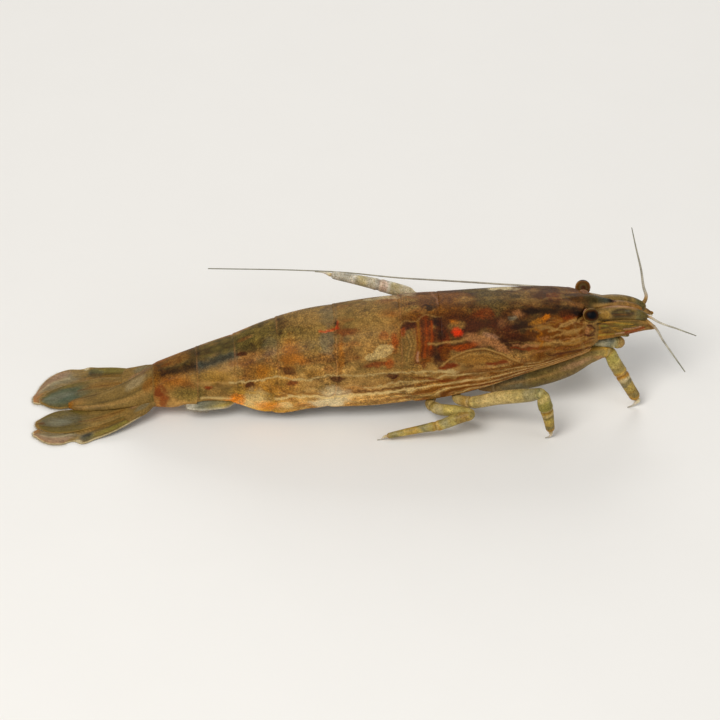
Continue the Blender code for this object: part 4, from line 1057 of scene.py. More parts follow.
@dataclass(frozen=True)
class Shield:
    """Head and chest shield with its short beak."""

    trunk: Trunk
    rear: float = 10.6
    rear_swing: float = -0.8
    rows: int = 165
    collar_start: float = 24.4
    collar_end: float = 28.4
    # The front edge, cut back round the eye: place from the crown, 0, to the margin, 2, and x.
    edge: Table = ((0, 26.5), (0.25, 26), (0.42, 25.3), (0.62, 25.5), (1, 26.4), (1.5, 26.9), (2, 26.2))
    # The beak: x, half width, underside, side edge and ridge.
    beak: Table = (
        (23.6, 1.7, 11.6, 12.1, 12.72), (25, 1.5, 11.7, 12.15, 12.92), (26.4, 1.18, 11.7, 12.15, 12.9),
        (28.4, 0.66, 11.65, 11.98, 12.44), (29.5, 0.24, 11.72, 11.88, 12.15),
        (29.95, 0.04, 11.84, 11.88, 11.94))
    beak_fade: Fade = (
        (25, UMBER), (26.2, BARK), (27.5, OLIVE), (28.6, SLATE), (29.2, SOOT),
        (29.9, BLUSH))

    def build(self) -> None:
        """Rows run from the rear edge to the front edge at each column's own length."""
        s = np.abs(self.trunk.columns)
        t = np.maximum(s - 1.0, 0.0)
        u = np.linspace(0.0, 1.0, self.rows)[:, None]
        start, front = self.rear + self.rear_swing * t**2, columns_at(self.edge, s)[0]
        x = start + u * (front - start)
        back, fore = x - start, front - x
        swell = (0.05 * np.exp(-back / 0.9) - 0.05 * ease(0.14, 0.0, back)) * (1.0 - 0.9 * t)
        swell = swell + 0.05 * bump((2.0 - s) * 4.3, 0.22, 0.14) + 0.03 * bump(fore, 0.5, 0.2)
        swell = swell - 0.10 * ease(0.12, 0.0, fore) - 0.10 * ease(0.6, 0.0, fore) * ease(0.35, 0.6, s)
        skin = self.trunk.skin(x, swell)
        rim = np.maximum(ease(0.97, 1.0, s / 2.0) * 0.75, 0.30 * bump(fore, 0.35, 0.2) * ease(0.4, 0.7, s))
        paint = toward(self.trunk.paint(skin), SAND, rim, 0.4)
        draft = self.trunk.wrapped("shell_shield", skin, paint, FAWN, 0.7 * ease(0.9, 1.0, u))
        self.add_beak(draft)
        draft.build(SHELL, "shell", "carapace")
        self.collar()

    def collar(self) -> None:
        """The side of the head in front of the shield, which narrows from under it to the feelers."""
        x = np.linspace(self.collar_start, self.collar_end, 60)[:, None]
        s = np.abs(self.trunk.columns)
        swell = -0.07 - 0.75 * ease(0.52, 0.30, s) - 1.5 * ease(26.6, self.collar_end + 0.8, x) ** 1.6
        skin = self.trunk.skin(x, swell, 1.5 * ease(25.4, 28.2, x))
        rough = MOTTLE.layered(skin, 0.9)
        plain = blended(skin[..., 0], ((25.5, BROWN), (27, FAWN), (28.5, KHAKI)))
        plain = grained(plain * (1.0 + 0.35 * rough)[..., None], 0.4)
        paint = mixed(self.trunk.paint(skin), plain, 0.8 * ease(26.0, 27.3, skin[..., 0] + 0.5 * rough))
        paint = tinted(paint, HEAD_MARKS, side_chart(skin), rough)
        self.trunk.wrapped("shell_collar", skin, paint, BROWN).build(SHELL, "shell")

    def add_beak(self, draft: Draft) -> None:
        """Beak: rings with a keel above and below, narrowing to the tip.

        Args:
            draft: the shield's draft, which takes the beak.
        """
        x = span_of(self.beak, 70)
        half, low, side, ridge = columns_at(self.beak, x)
        turn = circle(48)
        up = np.cos(turn)
        z = side + np.where(up > 0, (ridge - side) * np.abs(up) ** 1.5, -(side - low) * np.abs(up) ** 0.7)
        points = joined(x, half * power(np.sin(turn), 1.15), z)
        noise = MOTTLE.layered(points, 0.5)
        colour = grained(blended(x + 0.2 * noise, self.beak_fade) * (0.60 + 0.25 * noise)[..., None], 0.5)
        colour = mixed(self.trunk.paint(points, 0.06), colour, ease(25.3, 27.0, x + 0.5 * noise))
        keel = 0.95 * bump(np.abs(np.sin(turn)), 1.0, 0.20) * ease(26.6, 28.0, x)
        draft.tube(points, toward(colour, SAND, keel, 0.3))


# Limbs ----------------------------------------


@dataclass(frozen=True)
class Band:
    """A band of colour round a limb, placed by the number of a station, which may be a fraction."""

    at: float
    half: float
    tone: Tone
    strength: float = 0.8


@dataclass(frozen=True)
class Limb:
    """A limb carried along a path of stations: x, y, z, half width and half height, if it differs."""

    stations: Table
    joints: tuple[float, ...] = ()
    step: float = 0.09
    sides: int = 28
    pinch: float = 0.1
    axis: Triple = (0.0, 1.0, 0.0)
    ground: Fade = ((0, STRAW),)
    bands: tuple[Band, ...] = ()
    marks: Marks = ()

    def table(self) -> Array:
        """The stations with both half sizes filled in."""
        return np.array([s if len(s) == 5 else (*s, s[3]) for s in self.stations], float)

    def at_station(self, number: Array | float) -> Array:
        """Length along the limb at a station's number."""
        return np.interp(number, np.arange(len(self.stations)), lengths(self.table()[:, :3]))

    def mirrored(self) -> Limb:
        """The same limb on the other side."""
        return replace(self, stations=tuple((s[0], -s[1], *s[2:]) for s in self.stations))

    def surface(self) -> tuple[Array, Array]:
        """Rings carried along the path, each turned with it, narrowed at the joints and rounded at the ends.

        A ring is centre + w cos(a) side + h sin(a) up. `side` is carried from ring to ring, and made square
        to the path each time. Within one radius of an end the ring shrinks as a half circle does.

        Returns:
            Points (rows, sides, 3) and the length along at each row, (rows, 1).
        """
        table = self.table()
        reach = lengths(table[:, :3])
        total = reach[-1]
        ends = np.minimum(table[[0, -1], 3], total / 3)
        round_off = 1.0 - np.cos(np.linspace(0.0, math.pi / 2, 7)[:-1])
        body = np.linspace(ends[0], total - ends[1], max(6, round((total - ends.sum()) / self.step)))
        run = np.concatenate([ends[0] * round_off, body, total - ends[1] * round_off[::-1]])
        read = curve(reach, table, run)
        path, half = read[:, :3], np.maximum(read[:, 3:], 0.02)
        near = np.clip(np.minimum(run / ends[0], (total - run) / ends[1]), 0.0, 1.0)
        half = half * np.sqrt(np.maximum(1.0 - (1.0 - near) ** 2, 1e-4))[:, None]
        for joint in self.at_station(self.joints):
            swell = 0.05 * bump(run, joint - 0.34, 0.2) + 0.03 * bump(run, joint + 0.36, 0.22)
            half = half * (1.0 - self.pinch * bump(run, joint, 0.16) + swell)[:, None]
        along = unit(np.gradient(path, run, axis=0))
        sides = np.empty_like(path)
        side = np.array(self.axis)
        for row, ahead in enumerate(along):
            side = unit(side - ahead * side.dot(ahead))
            sides[row] = side
        angle = circle(self.sides)[None, :, None]
        ring = np.cos(angle) * (half[:, :1] * sides)[:, None]
        ring = ring + np.sin(angle) * (half[:, 1:] * np.cross(along, sides))[:, None]
        return path[:, None] + ring, run[:, None]

    def paint(self, points: Array, run: Array) -> Array:
        """Ground tones along the limb, then its bands, then a dark line and a pale one at each joint.

        Args:
            points: the limb's surface, shape (rows, sides, 3).
            run: length along at each row, shape (rows, 1).

        Returns:
            Linear colours of the same shape as the points.
        """
        noise, fleck = MOTTLE.layered(points, 0.8), MOTTLE.layered(points + 30.0, 0.35)
        spot = run + 0.30 * noise
        last = len(self.stations) - 1
        colour = blended(spot, [(self.at_station(part * last), tone) for part, tone in self.ground])
        colour = colour * (1.0 + 0.30 * noise + 0.25 * fleck)[..., None]
        for band in self.bands:
            low, middle, high = self.at_station(band.at + np.array((-0.5, 0.0, 0.5)))
            away = np.abs(spot - middle) / (0.30 * (high - low) + 0.70)
            cover = band.strength * ease(band.half * 1.7, band.half * 0.4, away)
            colour = toward(colour, band.tone, cover * np.clip(0.85 + 0.5 * fleck, 0.0, 1.0))
        for joint in self.at_station(self.joints):
            colour = colour * (1.0 - 0.32 * bump(run, joint, 0.09))[..., None]
            colour = toward(colour, PALE, 0.22 * bump(run, joint - 0.22, 0.1))
        return tinted(colour, self.marks, side_chart(points), noise)

    def draw(self, draft: Draft) -> None:
        """Adds the limb's surface to a draft."""
        points, run = self.surface()
        draft.tube(points, self.paint(points, run), run)


LEG_FADE: Fade = ((0, TAN), (0.2, STRAW), (0.35, CREAM), (0.5, STRAW), (0.7, LIME), (1, GOLD))
LEG_BANDS = (
    Band(1.4, 0.6, CREAM, 0.6), Band(2.1, 0.35, AMBER, 0.4), Band(2.6, 0.35, CREAM, 0.5),
    Band(3.4, 1, STRAW, 0.4), Band(4.1, 0.5, GREY, 0.5), Band(4.75, 0.2, TEAL, 0.5),
    Band(5, 0.3, STRAW, 0.6), Band(5.4, 0.25, CREAM, 0.6), Band(6, 0.4, MOSS, 0.5),
    Band(6.7, 0.3, AMBER, 0.5), Band(7.05, 0.16, CREAM, 0.7), Band(7.35, 0.2, BARK, 0.6),
    Band(7.9, 0.4, STRAW, 0.5), Band(8.5, 0.25, TEAL, 0.6), Band(8.9, 0.25, GOLD))
NEAR_LEG_BANDS = (
    Band(1, 0.8, TAN, 0.5), Band(2.3, 0.8, SLATE, 0.55), Band(3.9, 1.6, DRAB, 0.5),
    Band(5.2, 0.9, KHAKI, 0.6), Band(6, 0.3, GOLD, 0.6), Band(6.5, 0.5, LIME, 0.5),
    Band(7.3, 0.25, KHAKI, 0.6), Band(7.95, 0.42, GOLD, 1), Band(8.02, 0.22, ORANGE, 0.25),
    Band(8.42, 0.2, PALE), Band(8.78, 0.24, SLATE, 0.75), Band(9.15, 0.25, STRAW, 0.6),
    Band(9.55, 0.25, TEAL, 0.65), Band(9.98, 0.4, GOLD, 0.9))


@dataclass(frozen=True)
class WalkingLegs:
    """The six walking legs, each ending in a hooked claw.

    The last three stations of each leg belong to its claw.
    """

    legs: tuple[tuple[str, Limb], ...] = (
        ("leg_3_right", Limb((
            (14.6, -2.35, 3.05, 0.45), (15.6, -2.4, 3.1, 0.6, 0.75), (17.6, -2.45, 3.42, 0.75, 1.15),
            (21.2, -2.6, 4.3, 0.8, 1.32), (24.4, -2.55, 5.4, 0.8, 1.25), (27, -2.15, 6.62, 0.76, 1),
            (28.75, -2.05, 6.84, 0.74, 0.68), (29.6, -2.25, 5.3, 0.78, 0.74),
            (30.35, -2.5, 3.95, 0.74, 0.72), (31, -2.75, 2.7, 0.63, 0.64), (32, -3.05, 0.9, 0.6, 0.6),
            (31.85, -3.15, 0.45, 0.34, 0.34), (31.5, -3.24, 0, 0.22)), (1.5, 6.1, 7.95),
            ground=(
                (0, TAN), (0.18, DRAB), (0.3, MOSS), (0.45, DRAB), (0.55, STRAW), (0.75, STRAW), (1, GOLD)),
            bands=NEAR_LEG_BANDS, marks=(
                Streak(((17.5, 1.6), (21, 2.2), (24, 3.2), (26.5, 4.4)), 0.16, SAND, 0.6, 0.1),
                Streak(((20.5, 3.6), (23, 4.35), (26, 5.15), (29.2, 5.72)), 0.18, GOLD, 0.85, 0.06),
                Patch((28, 4.55), (0.6, 0.22), ROSE, 0.6), Patch((25.6, 3.9), (1.5, 0.3), BLUSH, 0.35, 22),
                Patch((20.8, 3.6), (2.2, 0.35), LIME, 0.5, 18)))),
        ("leg_4_right", Limb((
            (12.5, -2.45, 2.62, 0.45), (12.4, -3.5, 2.42, 0.52), (13.2, -4.45, 2.6, 0.6),
            (16.9, -6, 4.15, 0.74), (19.9, -7.4, 5.45, 0.72), (21.2, -8, 5.95, 0.6),
            (21.5, -8.05, 4.7, 0.78), (21.8, -8.05, 3.5, 0.68), (22, -8.08, 2.4, 0.57),
            (22.2, -8.1, 0.95, 0.46), (22.25, -8.11, 0.5, 0.32), (22, -8.11, 0, 0.22)), (2.2, 5.05, 6.65),
            ground=LEG_FADE, bands=LEG_BANDS)),
        ("leg_5_right", Limb((
            (10, -2.5, 2.12, 0.42), (9.5, -3.7, 1.95, 0.54), (10.2, -5, 2.2, 0.62), (12.5, -6.6, 2.95, 0.6),
            (13.6, -7.45, 3.15, 0.55), (12.4, -7.45, 2.72, 0.6), (10.4, -7.42, 1.85, 0.56),
            (8.6, -7.4, 1.45, 0.45), (6.4, -7.4, 0.98, 0.38), (4.6, -7.38, 0.56, 0.3),
            (4.12, -7.37, 0.3, 0.24), (3.9, -7.36, 0, 0.2)), (1.6, 4, 6.3), ground=((0, TAN), (0.25, STRAW)),
            bands=(
                Band(2.2, 0.4, PALE, 0.5), Band(4.6, 0.5, OCHRE, 0.6), Band(5.7, 0.3, GREY, 0.5),
                Band(6.25, 0.25, GOLD), Band(6.95, 0.3, SLATE, 0.6), Band(7.6, 0.5, GOLD, 0.6),
                Band(8.5, 0.3, SLATE, 0.5), Band(9, 0.25, BLUSH)))),
        ("leg_5_left", Limb((
            (10, 2.5, 2.12, 0.42), (9.6, 3.7, 1.92, 0.5), (9.3, 4.9, 2.3, 0.56), (9, 6.6, 4.7, 0.7),
            (8.75, 8.1, 6.75, 0.7), (8.1, 8.75, 7.45, 0.58), (6.6, 9.1, 7.78, 0.7), (5, 9.5, 8.1, 0.66),
            (3, 9.95, 8.45, 0.58), (-0.35, 10.65, 8.93, 0.42), (-0.85, 10.78, 9.05, 0.26),
            (-1.35, 10.86, 9.12, 0.18)), (1.6, 4.8, 7.1),
            ground=((0, TAN), (0.3, STRAW), (0.5, PALE), (0.7, IVORY)),
            bands=(
                Band(6, 0.5, STRAW, 0.6), Band(6.85, 0.3, BLUSH, 0.55), Band(7.4, 0.25, PALE, 0.5),
                Band(8, 0.4, STRAW, 0.7), Band(8.6, 0.3, GREY, 0.35), Band(9, 0.4, IVORY)))),
        ("leg_4_left", Limb((
            (12.5, 2.45, 2.62, 0.45), (12.5, 3.6, 2.42, 0.52), (13.6, 4.6, 2.75, 0.6), (16.9, 5.8, 4.1, 0.7),
            (19.4, 6.7, 5.1, 0.66), (20.5, 7.2, 5.3, 0.52), (20.6, 7.7, 4.3, 0.62), (20.6, 8.15, 3.1, 0.6),
            (20.5, 8.5, 2.1, 0.5), (20.3, 8.85, 0.95, 0.42), (20.25, 8.95, 0.5, 0.32), (20, 9, 0, 0.22)),
            (2.2, 5.05, 6.65), ground=LEG_FADE, bands=LEG_BANDS)),
        ("leg_3_left", Limb((
            (14.6, 2.35, 3.05, 0.45), (15.8, 2.7, 3.05, 0.6, 0.65), (17.8, 3.3, 3.4, 0.75, 0.85),
            (20.4, 4.2, 4.4, 0.78, 0.95), (23.2, 5.1, 5.55, 0.76, 0.85), (24.9, 5.7, 6.05, 0.7, 0.62),
            (25.5, 6.3, 4.8, 0.72, 0.7), (26.1, 6.9, 3.6, 0.66, 0.66), (26.6, 7.5, 2.3, 0.54, 0.54),
            (27.2, 8.2, 0.95, 0.46, 0.46), (27.25, 8.4, 0.45, 0.32, 0.32), (27, 8.5, 0, 0.22)),
            (1.6, 5.1, 6.9), ground=LEG_FADE, bands=LEG_BANDS)))
    claw_fade: Fade = ((0, CREAM), (0.35, PALE), (0.7, IVORY), (1, GREY))

    def claw(self, leg: Limb) -> Limb:
        """The hooked claw at a leg's end: it leaves the leg's last thick station and thins to a point."""
        before, root, bend, end = leg.table()[-4:, :3]
        wide = leg.stations[-3][3]
        way = unit(root - before)
        shape = ((root - way * 0.15, 0.56 * wide), (root + way * 0.18, 0.5 * wide), (bend, 0.32 * wide),
                 (0.45 * bend + 0.55 * end + (0.0, 0.0, 0.03), 0.21 * wide),
                 (end + (0.0, 0.0, 0.05) + (end - bend) * (1.5, 1.5, 0.0), 0.05))
        return Limb(tuple((*spot, size) for spot, size in shape), step=0.05, sides=18, ground=self.claw_fade)

    def build(self) -> None:
        """Makes each leg up to its last thick station, and its claw as a piece of its own."""
        for name, leg in self.legs:
            make(f"skin_{name}", [replace(leg, stations=leg.stations[:-2])], LIMB, "limb", name)
            make(f"claw_{name[4:]}", [self.claw(leg)], CLAW, "limb")


HEAD_MARKS: Marks = (
    Patch((27, 8.35), (0.85, 0.26), SAND, 0.9), Patch((28.5, 9.05), (0.6, 0.42), GOLD, 0.65),
    Patch((28.6, 7.6), (0.7, 0.4), OLIVE, 0.5), Patch((28.3, 7.95), (0.5, 0.13), LIME, 0.5),
    Patch((30.3, 8.15), (0.9, 0.18), LIME, 0.35), Patch((26.95, 7.55), (0.2, 0.24), BRICK, 0.6),
    Patch((26.3, 7.2), (0.3, 0.6), CHESTNUT, 0.6),
    Streak(((26.35, 8.1), (26.5, 7.3), (26.4, 6.5)), 0.08, SAND, 0.5, 0.06),
    Patch((26.55, 7.35), (0.22, 0.42), ROSE), Patch((27.1, 7.2), (0.35, 0.3), FAWN),
    Streak(((26.6, 7.95), (27.05, 7.88), (27.32, 7.6)), 0.12, MAROON, 0.9, 0.14, 0.5),
    Streak(((27.35, 7.35), (27, 7.05), (26.6, 6.9)), 0.11, MAROON, 0.8, 0.14, 0.5),
    Streak(((26.25, 7), (26.8, 6.85), (27.3, 6.98)), 0.1, MAROON, 0.9, 0.04),
    Streak(((26.7, 6.55), (27.25, 6.6)), 0.07, MAROON, 0.8, 0.04),
    Streak(((27.6, 8.14), (28.08, 8.17), (28.55, 8.14)), 0.09, NIGHT, 0.95, 0.02),
    Streak(((27.6, 8.56), (29.2, 8.5), (30.5, 8.38), (32.1, 8.38)), 0.07, BARK, 0.8, 0.08),
    Streak(((27.8, 8.32), (29.6, 8.27), (31.5, 8.08)), 0.07, GOLD, 0.7, 0.08),
    Streak(((29, 7.88), (30.5, 7.8), (32.1, 8.08)), 0.08, OLIVE, 0.85, 0.08),
    Streak(((29.2, 7.5), (30.4, 7.42), (31.5, 7.7)), 0.07, GOLD, 0.6, 0.08),
    Streak(((27.6, 7.5), (28.8, 7.68), (29.6, 7.3)), 0.07, BARK, 0.8, 0.08),
    Streak(((27.8, 7), (29.2, 7.05), (30.1, 7.22)), 0.08, LIME, 0.5, 0.08),
    Streak(((30.5, 7.58), (31.4, 7.66), (32.4, 7.9)), 0.055, BLUSH, 0.85, 0.03),
    Streak(((30.7, 7.27), (31.4, 7.42), (32.1, 7.6), (32.7, 7.76)), 0.12, RUST, 0.95, 0.08),
    Streak(((28, 9.2), (29.4, 8.95), (31, 8.75), (32.6, 8.85)), 0.07, BARK, 0.7, 0.08),
    Streak(((28.2, 8.75), (29.8, 8.68), (31.2, 8.55), (32.8, 8.6)), 0.06, SAND, 0.5, 0.08),
    Streak(((28.4, 7.25), (29.6, 7.15), (30.6, 7.45)), 0.07, UMBER, 0.7, 0.08),
    Patch((33, 8.7), (0.45, 0.4), GOLD, 0.6), Patch((33.4, 8), (0.35, 0.2), BROWN, 0.6),
)
JAW_FADE: Fade = ((0, DRAB), (0.45, STRAW), (0.7, GREY), (0.85, STRAW), (1, TAN))


@dataclass(frozen=True)
class HeadLimbs:
    """Mouth fans, jaw feet and the jointed bases of the feelers, right side, then mirrored."""

    limbs: tuple[tuple[str, Limb], ...] = (
        ("cheliped_1", Limb((
            (19.6, -1.1, 4.6, 0.34), (22.4, -1.18, 5.1, 0.42), (24.8, -1.18, 5.95, 0.4),
            (26.5, -1.22, 7.15, 0.36), (27.4, -1.72, 7.95, 0.5), (28.9, -1.92, 8.06, 0.62),
            (30, -1.8, 7.8, 0.66), (30.6, -1.7, 7.52, 0.42)), (2, 3.6, 5.6), ground=JAW_FADE,
            bands=(Band(4.6, 0.5, PALE, 0.35), Band(5.1, 0.2, SLATE, 0.6), Band(6.3, 0.45, SAND)),
            marks=(
                Streak(((27.6, 6.35), (28.6, 6.25), (29.6, 6.3)), 0.08, SLATE, 0.7, 0.08),
                Streak(((27.4, 6.6), (28.6, 6.65), (29.4, 6.6)), 0.08, LIME, 0.5, 0.08),
                Patch((28.3, 6.45), (0.5, 0.12), BARK, 0.6),
                Streak(((29.9, 6.85), (30.15, 6.3), (29.9, 5.9)), 0.06, CHESTNUT, 0.7, 0.03)))),
        ("cheliped_2", Limb((
            (21.3, -0.38, 4.95, 0.28), (24, -0.38, 5.35, 0.32), (25.9, -0.4, 6.25, 0.31),
            (27.2, -0.62, 7.05, 0.33), (28.8, -0.7, 7.15, 0.36), (30, -0.7, 6.95, 0.34),
            (30.45, -0.68, 6.78, 0.2)), (1.6, 3.2, 4.6), ground=JAW_FADE)),
        ("maxilliped", Limb((
            (26.2, -0.4, 7.95, 0.3), (28.6, -0.44, 8.05, 0.33), (30, -0.46, 7.95, 0.3),
            (31.25, -0.5, 7.72, 0.2)), (1.2,), ground=JAW_FADE)),
        ("antennule", Limb((
            (25.6, -0.8, 10.6, 0.5), (26.7, -0.88, 10.8, 0.68), (27.6, -0.96, 11.02, 0.78),
            (29.3, -0.99, 11.14, 0.86), (30.3, -0.98, 11.12, 0.82), (31.2, -0.96, 10.96, 0.77),
            (32, -0.94, 10.74, 0.66), (32.7, -0.91, 10.48, 0.48), (33.1, -0.9, 10.3, 0.3)), sides=40,
            pinch=0.02,
            ground=((0.3, KHAKI), (0.42, DRAB), (0.66, DRAB), (0.8, MOSS), (0.9, MOSS), (1, FAWN)),
            bands=(Band(6, 0.25, TEAL, 0.35),), marks=(
                Patch((30.35, 9.32), (1.3, 0.45), SOOT, 0.88, 2, 0.2, 0.2),
                Streak(((29.2, 9.45), (30.4, 9.4), (31.5, 9.5)), 0.08, MOSS, 0.7, 0.06),
                Streak(((29.3, 9.15), (30.4, 9.1), (31.3, 9.15)), 0.05, BROWN, 0.7, 0.06),
                # Painted highlight: the small GREY spot on the dark box.
                Patch((30.9, 9.55), (0.3, 0.1), GREY, 0.3), Patch((32.3, 8.95), (0.55, 0.33), MOSS, 0.5),
                Patch((28.4, 9.1), (0.6, 0.45), GOLD, 0.6), Streak((
                    (26.6, 10.05), (27.6, 10), (28.6, 10.05), (30, 10.08), (31, 10), (31.9, 9.85)), 0.17,
                    ROSE, 0.7, 0.06)))),
        ("antenna_base", Limb((
            (26.2, -1.36, 9.05, 0.46), (27.25, -1.3, 9, 0.52, 0.6), (28.6, -1.16, 8.95, 0.5, 0.72),
            (30, -1, 9.05, 0.46, 0.8), (31.3, -0.85, 9.15, 0.42, 0.66), (32, -0.8, 9.05, 0.28, 0.34)),
            (1.3, 2.6), ground=((0, OCHRE), (0.6, MOSS), (1, FAWN)))))
    # The soft skin between the two short feelers' bases, on the middle plane.
    bridge: Limb = Limb((
        (27.2, 0, 11.2, 0.42), (28.8, 0, 11.4, 0.55), (30.6, 0, 11.36, 0.55), (31.8, 0, 11.02, 0.45),
        (32.6, 0, 10.65, 0.25)), ground=((0, BROWN), (0.4, FAWN), (1, OCHRE)))
    # The sharp spine at the end of each short feeler's base.
    spine: Limb = Limb((
        (32.3, -0.9, 10.25, 0.34), (32.9, -0.9, 9.95, 0.24), (33.4, -0.9, 9.55, 0.13),
        (33.86, -0.9, 9.19, 0.03)), step=0.05, sides=20, ground=((0, GOLD), (0.6, SAND), (1, PALE)))

    def build(self) -> None:
        """Makes each limb on both sides. The markings are on the right, and so is the bridge."""
        for name, limb in self.limbs:
            right = [limb, self.spine] if name == "antennule" else [limb]
            left = [replace(one, marks=()).mirrored() for one in right]
            if name == "antennule":
                right.append(self.bridge)
            for side, shapes in (("right", right), ("left", left)):
                make(f"skin_{name}_{side}", shapes, LIMB, "limb", f"{name}_{side}")


@dataclass(frozen=True)
class Feelers:
    """The long and short feelers: ringed threads that taper to a hair."""

    fade: Fade = ((0, KHAKI), (0.08, TAN), (0.25, SAND), (0.45, IVORY), (1, GREY))
    # Each thread's half width at its root and at its tip, and its path from its root.
    paths: tuple[tuple[str, float, float, Table], ...] = (
        ("antennule_outer_left", 0.27, 0.045, (
            (32.55, 1, 10.6), (32.93, 1.18, 10.86), (33.2, 1.75, 11.15), (32.98, 2.3, 11.9),
            (32.72, 3.2, 13.69), (32.2, 4.2, 15.95), (31.75, 5, 18.1))),
        ("antennule_inner_left", 0.2, 0.05, (
            (32.5, 0.8, 10.3), (32.85, 1, 10), (33, 1.6, 9.2), (32.9, 2.4, 8.4), (32.6, 3.8, 7.3),
            (31.9, 6, 5.9), (31.4, 8, 4.6))),
        ("antennule_outer_right", 0.2, 0.05, (
            (32.6, -0.8, 10.5), (33.15, -0.72, 10.35), (34.3, -1.3, 9.95), (36.2, -2.15, 9.62),
            (38.2, -3, 9.22))),
        ("antennule_inner_right", 0.2, 0.055, (
            (32.5, -1, 10.4), (33.1, -1.2, 10.05), (33.95, -1.9, 9.55), (34.6, -2.7, 8.65),
            (35.8, -3.9, 7.2), (36.9, -5, 5.9))),
        ("antenna_left", 0.17, 0.055, (
            (31.1, 0.85, 8.8), (31.6, 0.95, 8.7), (32.1, 1.8, 8.4), (31.9, 3, 8.3), (30.4, 4.3, 8.7),
            (27, 5.1, 9.4), (22.87, 6, 9.65), (17.8, 7.8, 8.97), (11.4, 9.8, 8.26), (7.2, 11, 7.87),
            (0.8, 12.8, 7.59), (-3.5, 13.9, 7.21), (-13.6, 16, 6.33))),
        ("antenna_right", 0.17, 0.055, (
            (31.2, -0.85, 8.78), (31.65, -0.8, 8.62), (32.35, -0.5, 8.35), (32.6, 0.6, 7.95), (32, 2.2, 7.4),
            (29, 4.5, 7.4), (24, 5.9, 8.35), (14, 6, 8.3), (4, 5.8, 7.5), (-4, 5.5, 6.3), (-10, 5, 5),
            (-14, 4.8, 4))))

    def build(self) -> None:
        """Makes each thread, thinning evenly with its length."""
        for name, thick, thin, path in self.paths:
            sizes = np.linspace(thick, thin, len(path))
            thread = Limb(tuple((*spot, size) for spot, size in zip(path, sizes)), step=0.16, sides=12,
                          axis=(0.0, 0.3, 1.0), ground=self.fade)
            make(f"thread_{name}", [thread], FEELER, "feeler", name)


# Head ----------------------------------------


@dataclass(frozen=True)
class Eyes:
    """Stalked eyes: a dark dome that looks outward, set in a pinkish ring."""

    radius: float = 0.84
    # Side, centre of the dome, and where the dark dome ends, in degrees from its own pole.
    eyes: tuple[tuple[str, Triple, float], ...] = (
        ("right", (26.8, -2.55, 12.22), 92.0), ("left", (26.4, 2.6, 12.02), 68.0))
    root: Triple = (26.3, 0.8, 11.4)
    # How thick the stalk is at shares of its way from the root to the dome's centre.
    stalk: Table = ((0, 0.42), (0.3, 0.46), (0.55, 0.58), (0.85, 0.66))
    # Tones by the angle from the inner spot, and from the dome's pole.
    skin_fade: Fade = (
        (14, LOAM), (26, BARK), (40, UMBER), (56, BROWN), (68, FAWN), (82, BLUSH), (96, ROSE), (115, BROWN),
        (180, UMBER))
    dome_fade: Fade = (
        (24, NIGHT), (36, SOOT), (50, LOAM), (62, UMBER), (72, OLIVE), (82, KHAKI), (92, FAWN))

    def build(self) -> None:
        """Makes both eyes and their stalks.

        The dome is a sphere. A soft dark spot looks out and up, wider than it is high, in clear olive skin
        with a pinkish ring. On the inner side a smaller dark spot lies in a brown ring, over a cream fleck.
        A pale band on the rear of the dome's rim is a painted highlight.
        """
        pole, turn = np.linspace(0.02, math.pi - 0.02, 44)[:, None], circle(64)
        for side, centre, reach in self.eyes:
            sign = -1.0 if side == "right" else 1.0
            middle = np.array(centre)
            out = unit(np.array((0.05, 0.80 * sign, 0.60)))
            ahead = unit(np.cross(out, (0.0, 0.0, 1.0)))
            around = np.cos(turn)[:, None] * ahead + np.sin(turn)[:, None] * np.cross(ahead, out)
            way = np.cos(pole)[..., None] * out + np.sin(pole)[..., None] * around
            size = self.radius * (1.0 + 0.03 * np.cos(pole) - 0.04 * bump(pole, 1.75, 0.12))
            points = middle + size[..., None] * way
            noise = MOTTLE.layered(points, 0.3)
            outer = np.degrees(pole) * (1.0 + 0.35 * np.sin(turn) ** 2) + 7.0 * noise
            spots = (np.array((-0.05, -0.79 * sign, 0.61)), np.array((-0.05, -0.97 * sign, 0.23)))
            inner, fleck = (np.degrees(np.arccos(np.clip(way @ spot, -1.0, 1.0))) for spot in spots)
            skin = blended(inner + 6.0 * noise, self.skin_fade)
            skin = toward(skin, CREAM, 0.6 * ease(16.0, 9.0, fleck))
            # Painted highlight: a pale band near the dome's rim, on its rear side only.
            rear = 0.6 * bump(outer, 80.0, 8.0) * ease(0.0, 0.8, -sign * np.cos(turn))
            dome = toward(blended(outer, self.dome_fade), SAND, rear)
            draft = Draft(f"eyeball_{side}")
            draft.tube(points, mixed(skin, dome, ease(reach, reach - 12.0, outer)))
            draft.build(EYE, "eye", f"eye_{side}")
            root = np.array(self.root) * (1.0, sign, 1.0)
            stations = tuple((*(root + (middle - root) * share), wide) for share, wide in self.stalk)
            stalk = Limb(stations, axis=(1.0, 0.0, 0.0), ground=((0, BROWN), (1, BLUSH)))
            make(f"stalk_{side}", [stalk], LIMB, "limb", f"eyestalk_{side}")


